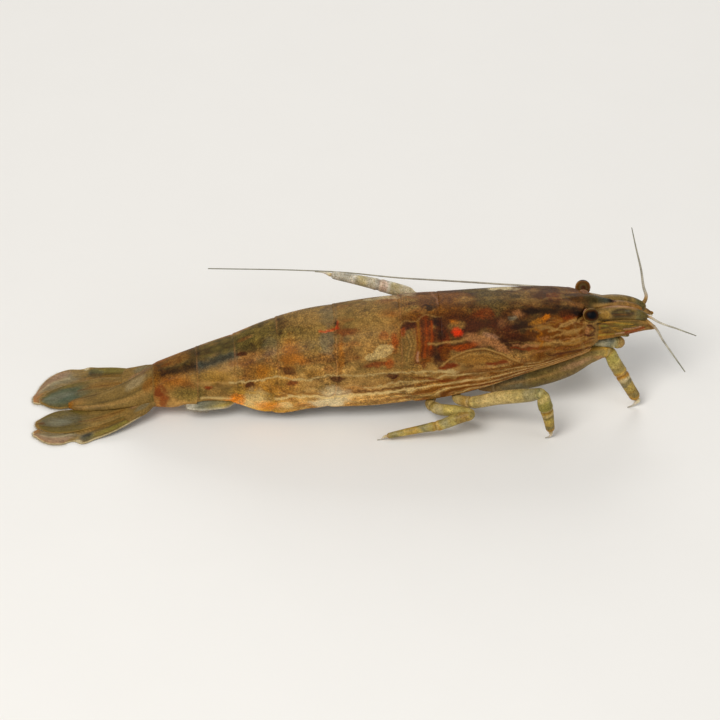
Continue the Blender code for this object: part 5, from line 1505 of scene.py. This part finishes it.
@dataclass(frozen=True)
class Underside:
    """The mouth block between the feelers, and the plain underside of the chest."""

    # The chest: x, roof, half width, level of the sides and of the keel.
    chest: Table = (
        (9.6, 4.65, 3.4, 2.75, 2.25), (12, 5.05, 3.45, 3.2, 2.55), (14.5, 5.4, 3.45, 3.8, 3.1),
        (17, 5.85, 3.4, 4.5, 3.8), (19.5, 6.45, 3.3, 5.4, 4.8), (22, 7, 3.1, 6.2, 5.6),
        (24.9, 7.6, 2.8, 6.95, 6.3))
    # The mouth: x, half width, underside and top.
    mouth: Table = (
        (25.6, 1.3, 8, 10.6), (27.05, 1, 8.3, 10.35), (28.2, 0.66, 8.46, 10.35), (29.4, 0.42, 8.55, 10.2))

    def build(self) -> None:
        """Both are rings of a rounded box, read along the body."""
        turn = circle(60)
        up, out = np.cos(turn), power(np.sin(turn), 0.7)
        x = span_of(self.chest, 90)
        roof, half, side, keel = columns_at(self.chest, x)
        plates = 0.10 * np.sin(TAU * x / 1.9) * bump(up, -1.0, 0.7)
        chest = joined(x, half * out, side + np.where(up > 0, roof - side, side - keel) * up + plates)
        x = span_of(self.mouth, 40)
        half, low, high = columns_at(self.mouth, x)
        mouth = joined(x, half * out, (low + high) / 2 + (high - low) / 2 * power(up, 0.8))
        for node, points, tone, size, depth in (("thorax", chest, DRAB, 1.0, 0.3),
                                                ("mouth_block", mouth, BROWN, 0.5, 0.35)):
            draft = Draft(f"skin_{node}")
            draft.tube(points, tone.rgb * (1.0 + depth * MOTTLE.layered(points, size)[..., None]))
            draft.build(LIMB, "limb", node)


# Plates ----------------------------------------


class Rim(Enum):
    """Which part of a plate's outline carries a fringe, as shares of the way round from its outer root."""

    TIP = (0.36, 0.66)
    REAR = (0.30, 0.97)


@dataclass(frozen=True)
class Plate:
    """A thin leaf through stations: x, y and z of its outer edge, y and z of its inner edge."""

    stations: Table
    thick: float = 0.46
    edge: float = 0.12
    ribs: tuple[tuple[float, float], ...] = ()
    closing: float = 0.3
    rows: int = 110
    half_columns: int = 36
    ground: Fade = ((0, TAN),)
    marks: Marks = ()
    side_marks: Marks = ()
    rim: tuple[Tone, float] = (PALE, 0.6)
    rim_width: float = 0.3
    taper: float = 0.0

    def mirrored(self) -> Plate:
        """The same plate on the other side."""
        return replace(self, stations=tuple((x, -y0, z0, -y1, z1) for x, y0, z0, y1, z1 in self.stations))

    def edges(self) -> tuple[Array, Array, Array, Array]:
        """Both edges along the leaf, with the tip drawn together as an ellipse does.

        Returns:
            Outer edge points, inner edge points, length from the root, and how open the leaf is: 1 until the
            tip, where it falls to 0. One row each.
        """
        table = np.array(self.stations)
        sense = math.copysign(1.0, table[-1, 0] - table[0, 0])
        knots = (table[:, 0] - table[0, 0]) * sense
        turn = np.linspace(0.0, math.pi / 2, 14)[1:]
        tip = knots[-1] + self.closing * np.sin(turn)
        run = np.concatenate([np.linspace(0.0, knots[-1], self.rows), tip])
        x, read = (table[0, 0] + sense * run)[:, None], curve(knots, table[:, 1:], run)
        outer, inner = np.hstack([x, read[:, :2]]), np.hstack([x, read[:, 2:]])
        middle, shut = (outer + inner) / 2, np.concatenate([np.ones(self.rows), np.cos(turn)])[:, None]
        return middle + (outer - middle) * shut, middle + (inner - middle) * shut, run[:, None], shut

    def draw(self, draft: Draft) -> None:
        """Adds the leaf: a ring across at each row, out along the top and back along the underside.

        Its thickness falls from the middle to the rims as the square root of 1 - c^4, where c runs from -1 at
        the outer edge to 1 at the inner one, and each rib adds a bell to the top.

        Args:
            draft: takes the surface.
        """
        outer, inner, run, shut = self.edges()
        across = np.cos(np.linspace(math.pi, 0.0, self.half_columns))
        span = inner - outer
        width = np.maximum(np.linalg.norm(span, axis=1, keepdims=True), 1e-3)
        normal = span[:, [0, 2, 1]] * (0.0, -1.0, 1.0) / width
        normal *= np.sign(normal[:, 2:] + 1e-9)
        body = self.edge + (self.thick - self.edge) * np.sqrt(np.maximum(1.0 - across**4, 0.0))
        slim = (1.0 - self.taper * (run / run[-1]) ** 2) * (0.25 + 0.75 * shut)
        half = body / 2 * np.minimum(1.0, width / (2.2 * self.thick)) * slim
        lift = sum((height * bump(across, at, 0.10) for at, height in self.ribs), np.zeros_like(across))
        flat = outer[:, None] + ((across + 1.0) / 2.0)[:, None] * span[:, None]
        upper = flat + (half + lift * np.minimum(1.0, width) * shut)[..., None] * normal[:, None]
        lower = flat - half[..., None] * normal[:, None]
        points = np.concatenate([upper, lower[:, -2:0:-1]], 1)
        chart = joined(run, np.concatenate([across, across[-2:0:-1]]))
        noise = MOTTLE.layered(points * LENGTHWISE, 0.7)
        colour = blended(run + 0.5 * noise, [(at * run[-1, 0], tone) for at, tone in self.ground])
        colour = tinted(colour * (1.08 + 0.25 * noise)[..., None], self.marks, chart, noise)
        colour = tinted(colour, self.side_marks, side_chart(points), noise)
        inward = np.minimum((1.0 - np.abs(chart[..., 1])) * width / 2, run[-1] - run)
        tone, strength = self.rim
        colour = toward(colour, tone, strength * ease(self.rim_width, 0.03, inward + 0.06 * noise))
        draft.tube(points, colour, run)

    def outline(self, part: Rim, spacing: float) -> tuple[Array, Array]:
        """Places evenly along a part of the outline, and the way out from the leaf at each.

        Args:
            part: which part of the outline.
            spacing: distance between places, in millimetres.

        Returns:
            Points and unit directions, one row for each place.
        """
        outer, inner, *_ = self.edges()
        loop = np.concatenate([outer, inner[::-1]])
        reach = lengths(loop)
        low, high = part.value
        run = np.arange(low * reach[-1], high * reach[-1], spacing)
        before, spot, after = (joined(*(np.interp(run + shift, reach, axis) for axis in loop.T))
                               for shift in (-0.15, 0.0, 0.15))
        normal = unit(np.cross(outer[-1] - outer[0], (inner - outer).mean(0)))
        way = np.cross(unit(after - before), normal)
        centre = (outer + inner).mean(0) / 2
        return spot, unit(way * np.sign(np.sum(way * (spot - centre), axis=1, keepdims=True)))


@dataclass(frozen=True)
class Fringe:
    """Fine bristles along the rims of plates, each a thin three-sided spike with a bend.

    A bristle has a ring of three points at its root, another halfway, and a tip that leans at random.
    """

    name: str
    seed: int
    length: float
    part: Rim
    spacing: float = 0.09
    width: float = 0.03
    droop: float = 0.1
    faces: tuple[tuple[int, ...], ...] = (
        (0, 1, 4, 3), (1, 2, 5, 4), (2, 0, 3, 5), (3, 4, 6), (4, 5, 6), (5, 3, 6), (2, 1, 0))

    def build(self, plates: Sequence[Plate]) -> None:
        """Makes one piece of joined bristles, with a small patch of the bake map for each.

        Args:
            plates: the plates whose rims carry them.
        """
        rims = [plate.outline(self.part, self.spacing) for plate in plates]
        roots, ways = (np.concatenate(part) for part in zip(*rims))
        rng = np.random.default_rng(self.seed)
        count = len(roots)
        half = self.length * rng.uniform(0.7, 1.1, (count, 1)) / 2
        lean = unit(ways + rng.normal(0.0, 0.14, (count, 3)) - (0.0, 0.0, self.droop))
        side = unit(np.cross(lean, (0.03, 0.05, 1.0)))
        corner = joined(np.cos(circle(3)), np.sin(circle(3)))
        ring = self.width * (corner[:, :1] * side[:, None] + corner[:, 1:] * np.cross(side, lean)[:, None])
        base = (roots - ways * 0.06)[:, None]
        mid = base + (ways * half)[:, None]
        draft = Draft(self.name)
        shade = rng.uniform(0.75, 1.05, (count, 1, 1))
        index = draft.add(np.concatenate([base + ring, mid + 0.7 * ring, mid + (lean * half)[:, None]], 1),
                          PALE.rgb * shade)
        draft.faces = [tuple(row) for face in self.faces for row in index[:, face].tolist()]
        draft.flat = [False] * len(draft.faces)
        self.chart(draft.build(BRISTLE, "fin"), roots, corner)

    def chart(self, piece: bpy.types.Object, roots: Array, corner: Array) -> None:
        """Gives each bristle a patch of the bake map at its root's place on the unrolled rims.

        Along is the distance round the rims, folded into as many lines as hold all the roots.

        Args:
            piece: the bristles.
            roots: where they start, shape (n, 3).
            corner: the corners of a triangle of radius one, shape (3, 2).
        """
        run = lengths(roots)
        lines = math.ceil(len(roots) * 0.004)
        turns = run / run[-1] * lines * 0.999
        place = joined(turns % 1.0, (np.floor(turns) + 0.5) / lines)
        patch = 0.0015 * np.concatenate([corner, corner * 0.6, np.zeros((1, 2))])
        spots = (place[:, None] * 0.99 + 0.005 + patch).reshape(-1, 2)
        held = np.empty(len(piece.data.loops), np.int32)
        piece.data.loops.foreach_get("vertex_index", held)
        chart = piece.data.uv_layers.new(name="OFBake")
        chart.data.foreach_set("uv", spots[held].ravel())


BLADE_RIBS = ((-0.45, 0.04), (0.1, 0.03))


def outer_blade(stations: Table, tooth: float) -> Plate:
    """An outer blade of the tail fan, whose side tooth lies at a length from the root."""
    return Plate(
        stations, thick=0.26, edge=0.08, ribs=BLADE_RIBS, rows=120, rim=(PALE, 0.85), rim_width=0.16,
        ground=((0, DRAB), (0.3, MOSS), (0.55, DRAB), (0.75, DRAB), (0.9, KHAKI), (1, ROSE)),
        marks=(
            Patch((tooth - 0.9, -0.5), (0.75, 0.34), SLATE, 0.85),
            Patch((tooth - 0.85, -0.5), (0.6, 0.24), SOOT, 0.7), Patch((3.4, -0.65), (2.8, 0.22), LIME, 0.3),
            Patch((4.6, -0.1), (2.2, 0.22), AMBER, 0.25),
            Streak(((0.5, -0.35), (3.5, -0.3), (6.6, -0.25)), 0.07, OLIVE, 0.8, 0.05),
            Patch((9.8, -0.45), (2.4, 0.5), GREY, 0.6), Patch((10.4, -0.7), (2.4, 0.35), BLUSH, 0.45),
            Streak(((8.2, -0.3), (10, -0.35), (11.6, -0.4)), 0.08, PALE, 0.4, 0.05),
            Patch((tooth, -0.92), (0.34, 0.16), PALE, 1)))


def inner_blade(stations: Table, stain: Tone, strength: float) -> Plate:
    """An inner blade of the tail fan, its rear half stained."""
    return Plate(
        stations, thick=0.26, edge=0.08, ribs=BLADE_RIBS, rows=120, rim=(SAND, 0.4), rim_width=0.16,
        ground=((0.5, DRAB), (0.62, MOSS), (0.93, MOSS), (1, KHAKI)),
        marks=(
            Patch((9, 0), (2.7, 0.62), stain, strength), Patch((8.4, 0.1), (1.7, 0.4), SLATE, 0.35),
            Patch((9.6, -0.1), (1.3, 0.3), GREY, 0.5), Patch((4.2, -0.3), (2.4, 0.35), AMBER, 0.2),
            Patch((6.2, 0.1), (1.2, 0.5), DRAB, 0.4), Patch((10.8, 0.3), (1, 0.4), GREY, 0.35),
            Streak(((1, -0.3), (4, -0.25), (7.5, -0.2)), 0.06, BROWN, 0.6, 0.05),
            Streak(((1, 0.15), (4, 0.1), (7.5, 0)), 0.06, OLIVE, 0.6, 0.04),
            Patch((11.6, 0), (0.4, 0.2), CHESTNUT, 0.7)))


@dataclass(frozen=True)
class TailFan:
    """Four blades on two stumps round the last plate of the tail."""

    # Blades: x, outer edge y and z, inner edge y and z. The inner blades lie over the outer ones.
    blades: tuple[tuple[str, Plate], ...] = (
        ("uropod_outer_right", outer_blade((
            (-21, -3.1, 1.7, -1.6, 1.7), (-23, -4.15, 1.05, -2, 1.2), (-24.6, -4.9, 0.66, -2.1, 0.8),
            (-26.6, -5.55, 0.26, -2.3, 0.36), (-28.45, -6.08, 0.15, -2.5, 0.15),
            (-28.8, -5.8, 0.15, -2.55, 0.15), (-30.4, -6.15, 0.15, -2.7, 0.15),
            (-31.8, -5.95, 0.15, -2.85, 0.15), (-32.6, -5.35, 0.15, -3.15, 0.15),
            (-33.1, -4.75, 0.15, -3.7, 0.15)), 7.5)),
        ("uropod_inner_right", inner_blade((
            (-20.9, -2.2, 2, -0.7, 2.05), (-23, -2.75, 1.26, -0.5, 1.3), (-24.6, -3.2, 0.84, -0.5, 0.85),
            (-26.6, -3.72, 0.46, -0.62, 0.45), (-28.5, -4.25, 0.36, -0.5, 0.26),
            (-29.8, -4.5, 0.35, -0.42, 0.24), (-31, -4.45, 0.34, -0.72, 0.24),
            (-32, -4.1, 0.33, -1.35, 0.24), (-32.8, -3.45, 0.32, -2.05, 0.24)), OLIVE, 0.6)),
        ("uropod_outer_left", outer_blade((
            (-21, 3.9, 1.95, 2.2, 1.9), (-22.8, 5.2, 1.25, 2.4, 1.25), (-24.4, 6.05, 0.8, 2.5, 0.8),
            (-26, 6.6, 0.42, 2.6, 0.4), (-27.2, 6.98, 0.16, 2.6, 0.16), (-27.6, 6.8, 0.16, 2.5, 0.16),
            (-29.4, 6.74, 0.15, 2, 0.15), (-30.8, 6, 0.15, 1.5, 0.15), (-31.9, 4.85, 0.15, 1.15, 0.15),
            (-32.6, 3.5, 0.15, 0.95, 0.15), (-33, 2.5, 0.15, 1.05, 0.15)), 6.3)),
        ("uropod_inner_left", inner_blade((
            (-20.9, 2.7, 2.05, 0.8, 2.1), (-23, 3.4, 1.38, 0.6, 1.3), (-24.6, 4.1, 0.96, 0.6, 0.85),
            (-26, 4.45, 0.66, 0.65, 0.52), (-27.4, 4.3, 0.5, 0.5, 0.32), (-29, 3.92, 0.42, 0.1, 0.25),
            (-30.4, 3.42, 0.38, -0.1, 0.24), (-31.4, 2.8, 0.36, 0.15, 0.24), (-32.2, 2.05, 0.33, 0.75, 0.24)),
            TEAL, 0.75)))
    # Stumps: x, outer y, inner y, level.
    stumps: tuple[tuple[str, Table], ...] = (
        ("right", (
            (-19.8, -2.3, -1.1, 2.45), (-20.35, -2.62, -0.9, 2.15), (-21, -3.12, -0.8, 1.85),
            (-22, -3.62, -0.8, 1.5), (-22.8, -3.95, -1, 1.2))),
        ("left", (
            (-19.8, 2.75, 1.2, 3.5), (-20.35, 3.05, 1.3, 3.2), (-21, 3.65, 1.2, 2.65), (-22, 4.4, 1.1, 1.95),
            (-22.8, 4.95, 1.2, 1.45))))
    # Last plate, from its tip: x, half width, underside, top.
    telson: Table = (
        (-29.45, 0.3, 0.24, 0.64), (-29, 0.7, 0.22, 0.78), (-28, 1.05, 0.3, 0.95), (-26, 1.45, 0.55, 1.4),
        (-24, 1.85, 0.98, 2.15), (-22, 2.2, 1.35, 3.35), (-20.32, 2.4, 1.6, 4.78), (-19.6, 2.4, 1.7, 5.15))
    telson_bend: float = 0.022
    telson_fade: Fade = ((0, MOSS), (1.2, KHAKI), (3.2, DRAB), (7.5, DRAB), (9.3, TAN), (9.8, HONEY))
    telson_marks: Marks = (
        Patch((2.6, 0.1), (1, 0.8), PALE, 0.35), Patch((0.9, -1.3), (0.9, 0.6), AMBER, 0.5),
        Patch((1.3, 1.2), (0.8, 0.6), BROWN, 0.5))
    fringe: Fringe = Fringe("fringe_tail", SEED + 1, 0.32, Rim.TIP)

    def build(self) -> None:
        """Makes the blades with their fringes, the stumps and the last plate."""
        for name, blade in self.blades:
            make(f"blade_{name}", [blade], FIN, "fin", name)
        self.fringe.build([blade for _, blade in self.blades])
        for side, rows in self.stumps:
            stump = Plate(
                tuple((x, y0, z, y1, z) for x, y0, y1, z in rows), thick=1.1, edge=0.25, closing=0.8, rows=50,
                taper=0.75, rim=(KHAKI, 0.1), ground=((0, KHAKI), (0.4, DRAB), (1, KHAKI)),
                marks=(
                    Patch((0.8, 0.2), (0.7, 0.4), ORANGE, 0.3), Patch((1.6, -0.4), (0.8, 0.3), GREY, 0.5),
                    Patch((2.2, 0.3), (0.8, 0.3), BLUSH, 0.4)))
            make(f"stump_{side}", [stump], FIN, "shell", f"uropod_base_{side}")
        self.last_plate()

    def last_plate(self) -> None:
        """The last plate: rings flat below and domed above, with two ridges that meet at the tip, and painted
        shade beside them.
        """
        x = span_of(self.telson, 120)
        half, low, high = columns_at(self.telson, x)
        turn = circle(72)
        up, out = np.cos(turn), power(np.sin(turn), 0.75)
        mid = low + 0.3 * (high - low)
        ridge = 0.07 * bump(np.abs(out), 0.7, 0.12) * (up > 0) * np.minimum(half, 1.0)
        z = mid + np.where(up > 0, high - mid, mid - low) * power(up, 1.1) + ridge
        points = joined(x, half * out + self.telson_bend * (-20.4 - x), z)
        noise = MOTTLE.layered(points * LENGTHWISE, 0.8)
        run = -19.6 - x
        colour = blended(run + 0.6 * noise, self.telson_fade) * (1.0 + 0.28 * noise)[..., None]
        line = 0.55 * bump(np.abs(out), 0.80, 0.08) * (up > -0.1) * ease(9.6, 8.0, run)
        # Painted shade: the colour is darkened in a line just inside each ridge on the dome, as in a crease.
        groove = 0.35 * bump(np.abs(out), 0.58, 0.08) * (up > 0)
        colour = toward(colour, SAND, line) * (1.0 - groove)[:, None]
        draft = Draft("blade_telson")
        draft.tube(points, tinted(colour, self.telson_marks, joined(run, points[..., 1]), noise))
        draft.build(FIN, "fin", "telson")


@dataclass(frozen=True)
class HeadScales:
    """Broad scales beside the feelers: x, then y and z of the lower and upper edges, right side."""

    scale: Plate = Plate((
        (26.9, -2.8, 9.25, -2.2, 10.3), (27.5, -2.85, 9.12, -2.25, 10.75), (28.6, -2.72, 9.1, -2.12, 10.95),
        (30.2, -2.38, 9.15, -1.98, 10.98), (31.6, -1.9, 9.15, -1.7, 10.7), (32.8, -1.5, 9.1, -1.35, 10.2),
        (33.7, -1.28, 9.02, -1.18, 9.55)), thick=0.34, edge=0.08, ribs=((-0.62, 0.05),), closing=0.3,
        rows=80, ground=((0, HONEY), (0.25, OCHRE), (0.6, MOSS), (0.85, FAWN)),
        marks=(
            Patch((2.2, 0.55), (1.4, 0.3), BARK, 0.6), Patch((5.2, 0.1), (1.2, 0.5), OLIVE, 0.5),
            Streak(((0.2, -0.25), (2, -0.15), (4.2, -0.25)), 0.09, UMBER, 0.65, 0.08),
            Streak(((0.4, 0.15), (2.4, 0.2), (4.8, 0.1)), 0.07, GOLD, 0.7, 0.08),
            Streak(((1, -0.05), (3, 0), (5.2, -0.1)), 0.06, BARK, 0.6, 0.08),
            Streak(((2.6, -0.52), (4.2, -0.55), (5.8, -0.45)), 0.09, BLUSH, 0.8, 0.04),
            Patch((4.6, -0.9), (1.2, 0.15), RUST)), side_marks=HEAD_MARKS, rim=(FAWN, 0.3))

    def build(self) -> None:
        """Makes both scales."""
        for side, plate in (("right", self.scale), ("left", self.scale.mirrored())):
            make(f"leaf_antennal_scale_{side}", [plate], FIN, "fin", f"antennal_scale_{side}")


@dataclass(frozen=True)
class Swimmerets:
    """The five pairs of swimming legs under the tail, folded back."""

    # One leaf: x from its root, middle y, z of the outer and inner edge, half breadth.
    leaf: Table = (
        (0.6, 1.7, 0.25, 0.25, 0.35), (0, 1.75, 0, 0, 0.5), (-1.6, 1.95, -0.3, -0.45, 0.88),
        (-3.6, 2.05, -0.75, -1, 0.95), (-5, 2.05, -1.1, -1.4, 0.7), (-5.6, 2.05, -1.2, -1.5, 0.35))
    # Each of the first four pairs: x of the root, level and size.
    pairs: Table = ((8.3, 4.27, 1), (3.2, 3.9, 1), (-3.3, 3.45, 0.92), (-7.9, 3.05, 0.64))
    # The fifth, as a plate: x, outer edge y and z, inner edge y and z.
    last: Table = (
        (-10.9, -2.2, 2.4, -1.7, 3.1), (-12, -2.78, 1.8, -1.9, 3.05), (-13.6, -3, 1.62, -2.05, 2.95),
        (-15.4, -3, 1.56, -2.1, 2.65), (-16.5, -2.82, 1.62, -2.15, 2.4))
    look: Plate = Plate((), thick=0.4, ribs=((0, 0.06),), rows=60, half_columns=24,
        ground=((0, TAN), (0.3, STRAW), (0.7, GREY), (1, IVORY)),
        marks=(
            Patch((2.5, 0.1), (1.5, 0.4), GREY, 0.5), Patch((3.6, -0.2), (0.9, 0.3), SLATE, 0.4),
            Patch((1.8, 0.4), (1, 0.3), LIME, 0.4)), rim=(IVORY, 0.6))
    fringe: Fringe = Fringe("fringe_pleopods", SEED + 2, 0.4, Rim.REAR, spacing=0.14)

    def build(self) -> None:
        """Makes each leaf on both sides, and a fringe for all of them."""
        tables = [tuple((x + dx, -size * (y + half), level + z0, -size * (y - half), level + z1)
                        for dx, y, z0, z1, half in self.leaf) for x, level, size in self.pairs]
        plates = []
        for number, table in enumerate((*tables, self.last), 1):
            right = replace(self.look, stations=table)
            for side, plate in (("right", right), ("left", right.mirrored())):
                make(f"leaf_pleopod_{number}_{side}", [plate], FIN, "fin", f"pleopod_{number}_{side}")
                plates.append(plate)
        self.fringe.build(plates)


# Studio ----------------------------------------


@dataclass(frozen=True)
class Lamp:
    """A square soft light turned toward the animal: place and side in metres, power in watts."""

    name: str
    place: Triple
    side: float
    power: float
    colour: Triple
    aim_height: float = 0.006

    def build(self) -> None:
        """Makes the light."""
        data = bpy.data.lights.new(self.name, "AREA")
        data.size, data.energy, data.color = self.side, self.power, self.colour
        made = linked(self.name, data)
        made.location = self.place
        made.visible_camera = False
        x, y, z = self.place
        pitch = math.atan2(math.hypot(x, y), z - self.aim_height)
        made.rotation_euler = (pitch, 0.0, math.atan2(y, x) + math.pi / 2)


@dataclass(frozen=True)
class Studio:
    """Pale floor, soft lights, and the camera that looks down on the animal's right side."""

    azimuth: float = -3.5
    elevation: float = 38.0
    frame_width: float = 77.76
    lens: float = 300.0
    sensor: float = 36.0
    target: Triple = (2.164, 0.0, 5.31)
    floor_half: float = 0.9
    room: tuple[Triple, float] = ((1.0, 0.99, 0.97), 0.36)
    lamps: tuple[Lamp, ...] = (
        Lamp("key", (-0.16, -0.22, 0.34), 0.22, 1.25, (1.0, 0.97, 0.92)),
        Lamp("fill", (0.30, -0.20, 0.18), 0.25, 0.30, (0.95, 0.98, 1.0)),
        Lamp("rim", (0.05, 0.34, 0.20), 0.20, 0.45, (1.0, 0.98, 0.95)))

    def floor(self) -> None:
        """A wide flat floor with a faint grain."""
        mesh = bpy.data.meshes.new("floor")
        corners = np.array([(-1, -1, 0), (1, -1, 0), (1, 1, 0), (-1, 1, 0)]) * self.floor_half
        mesh.from_pydata(corners.tolist(), [], [(0, 1, 2, 3)])
        graph = Graph("pale floor")
        tone = graph.mix(graph.noise(9.0, 4.0) * 0.5, (0.84, 0.83, 0.81), (0.80, 0.79, 0.77), "MIX")
        mesh.materials.append(graph.finished({"Base Color": tone, "Roughness": 0.75}))
        linked("floor", mesh)

    def camera(self) -> None:
        """A long lens far back, so that near and far parts keep nearly one scale."""
        a, e = math.radians(self.azimuth), math.radians(self.elevation)
        back = np.array((math.sin(a) * math.cos(e), -math.cos(a) * math.cos(e), math.sin(e)))
        data = bpy.data.cameras.new("camera")
        data.lens, data.sensor_width = self.lens, self.sensor
        data.clip_start, data.clip_end = 0.01, 10.0
        made = linked("camera", data)
        made.location = placed(np.array(self.target)) + back * self.frame_width * MM * self.lens / self.sensor
        made.rotation_euler = (math.pi / 2 - e, 0.0, a)
        bpy.context.scene.camera = made

    def build(self) -> None:
        """Makes the floor, the world's soft light, the lamps and the camera."""
        self.floor()
        world = bpy.data.worlds.new("soft room")
        world.use_nodes = True
        colour, strength = world.node_tree.nodes["Background"].inputs[:2]
        colour.default_value = (*self.room[0], 1.0)
        strength.default_value = self.room[1]
        bpy.context.scene.world = world
        bpy.context.scene.view_settings.view_transform = "Standard"
        for lamp in self.lamps:
            lamp.build()
        self.camera()


def main() -> None:
    """Builds the whole model in order."""
    logging.basicConfig(level=logging.INFO, format="%(name)s %(message)s")
    trunk = Trunk()
    for part in (Shield(trunk), Pleon(trunk), WalkingLegs(), HeadLimbs(), Feelers(), Eyes(), Underside(),
                 TailFan(), HeadScales(), Swimmerets(), Studio()):
        LOG.info("building %s", type(part).__name__)
        part.build()
    bpy.context.view_layer.update()


if __name__ == "__main__":
    main()
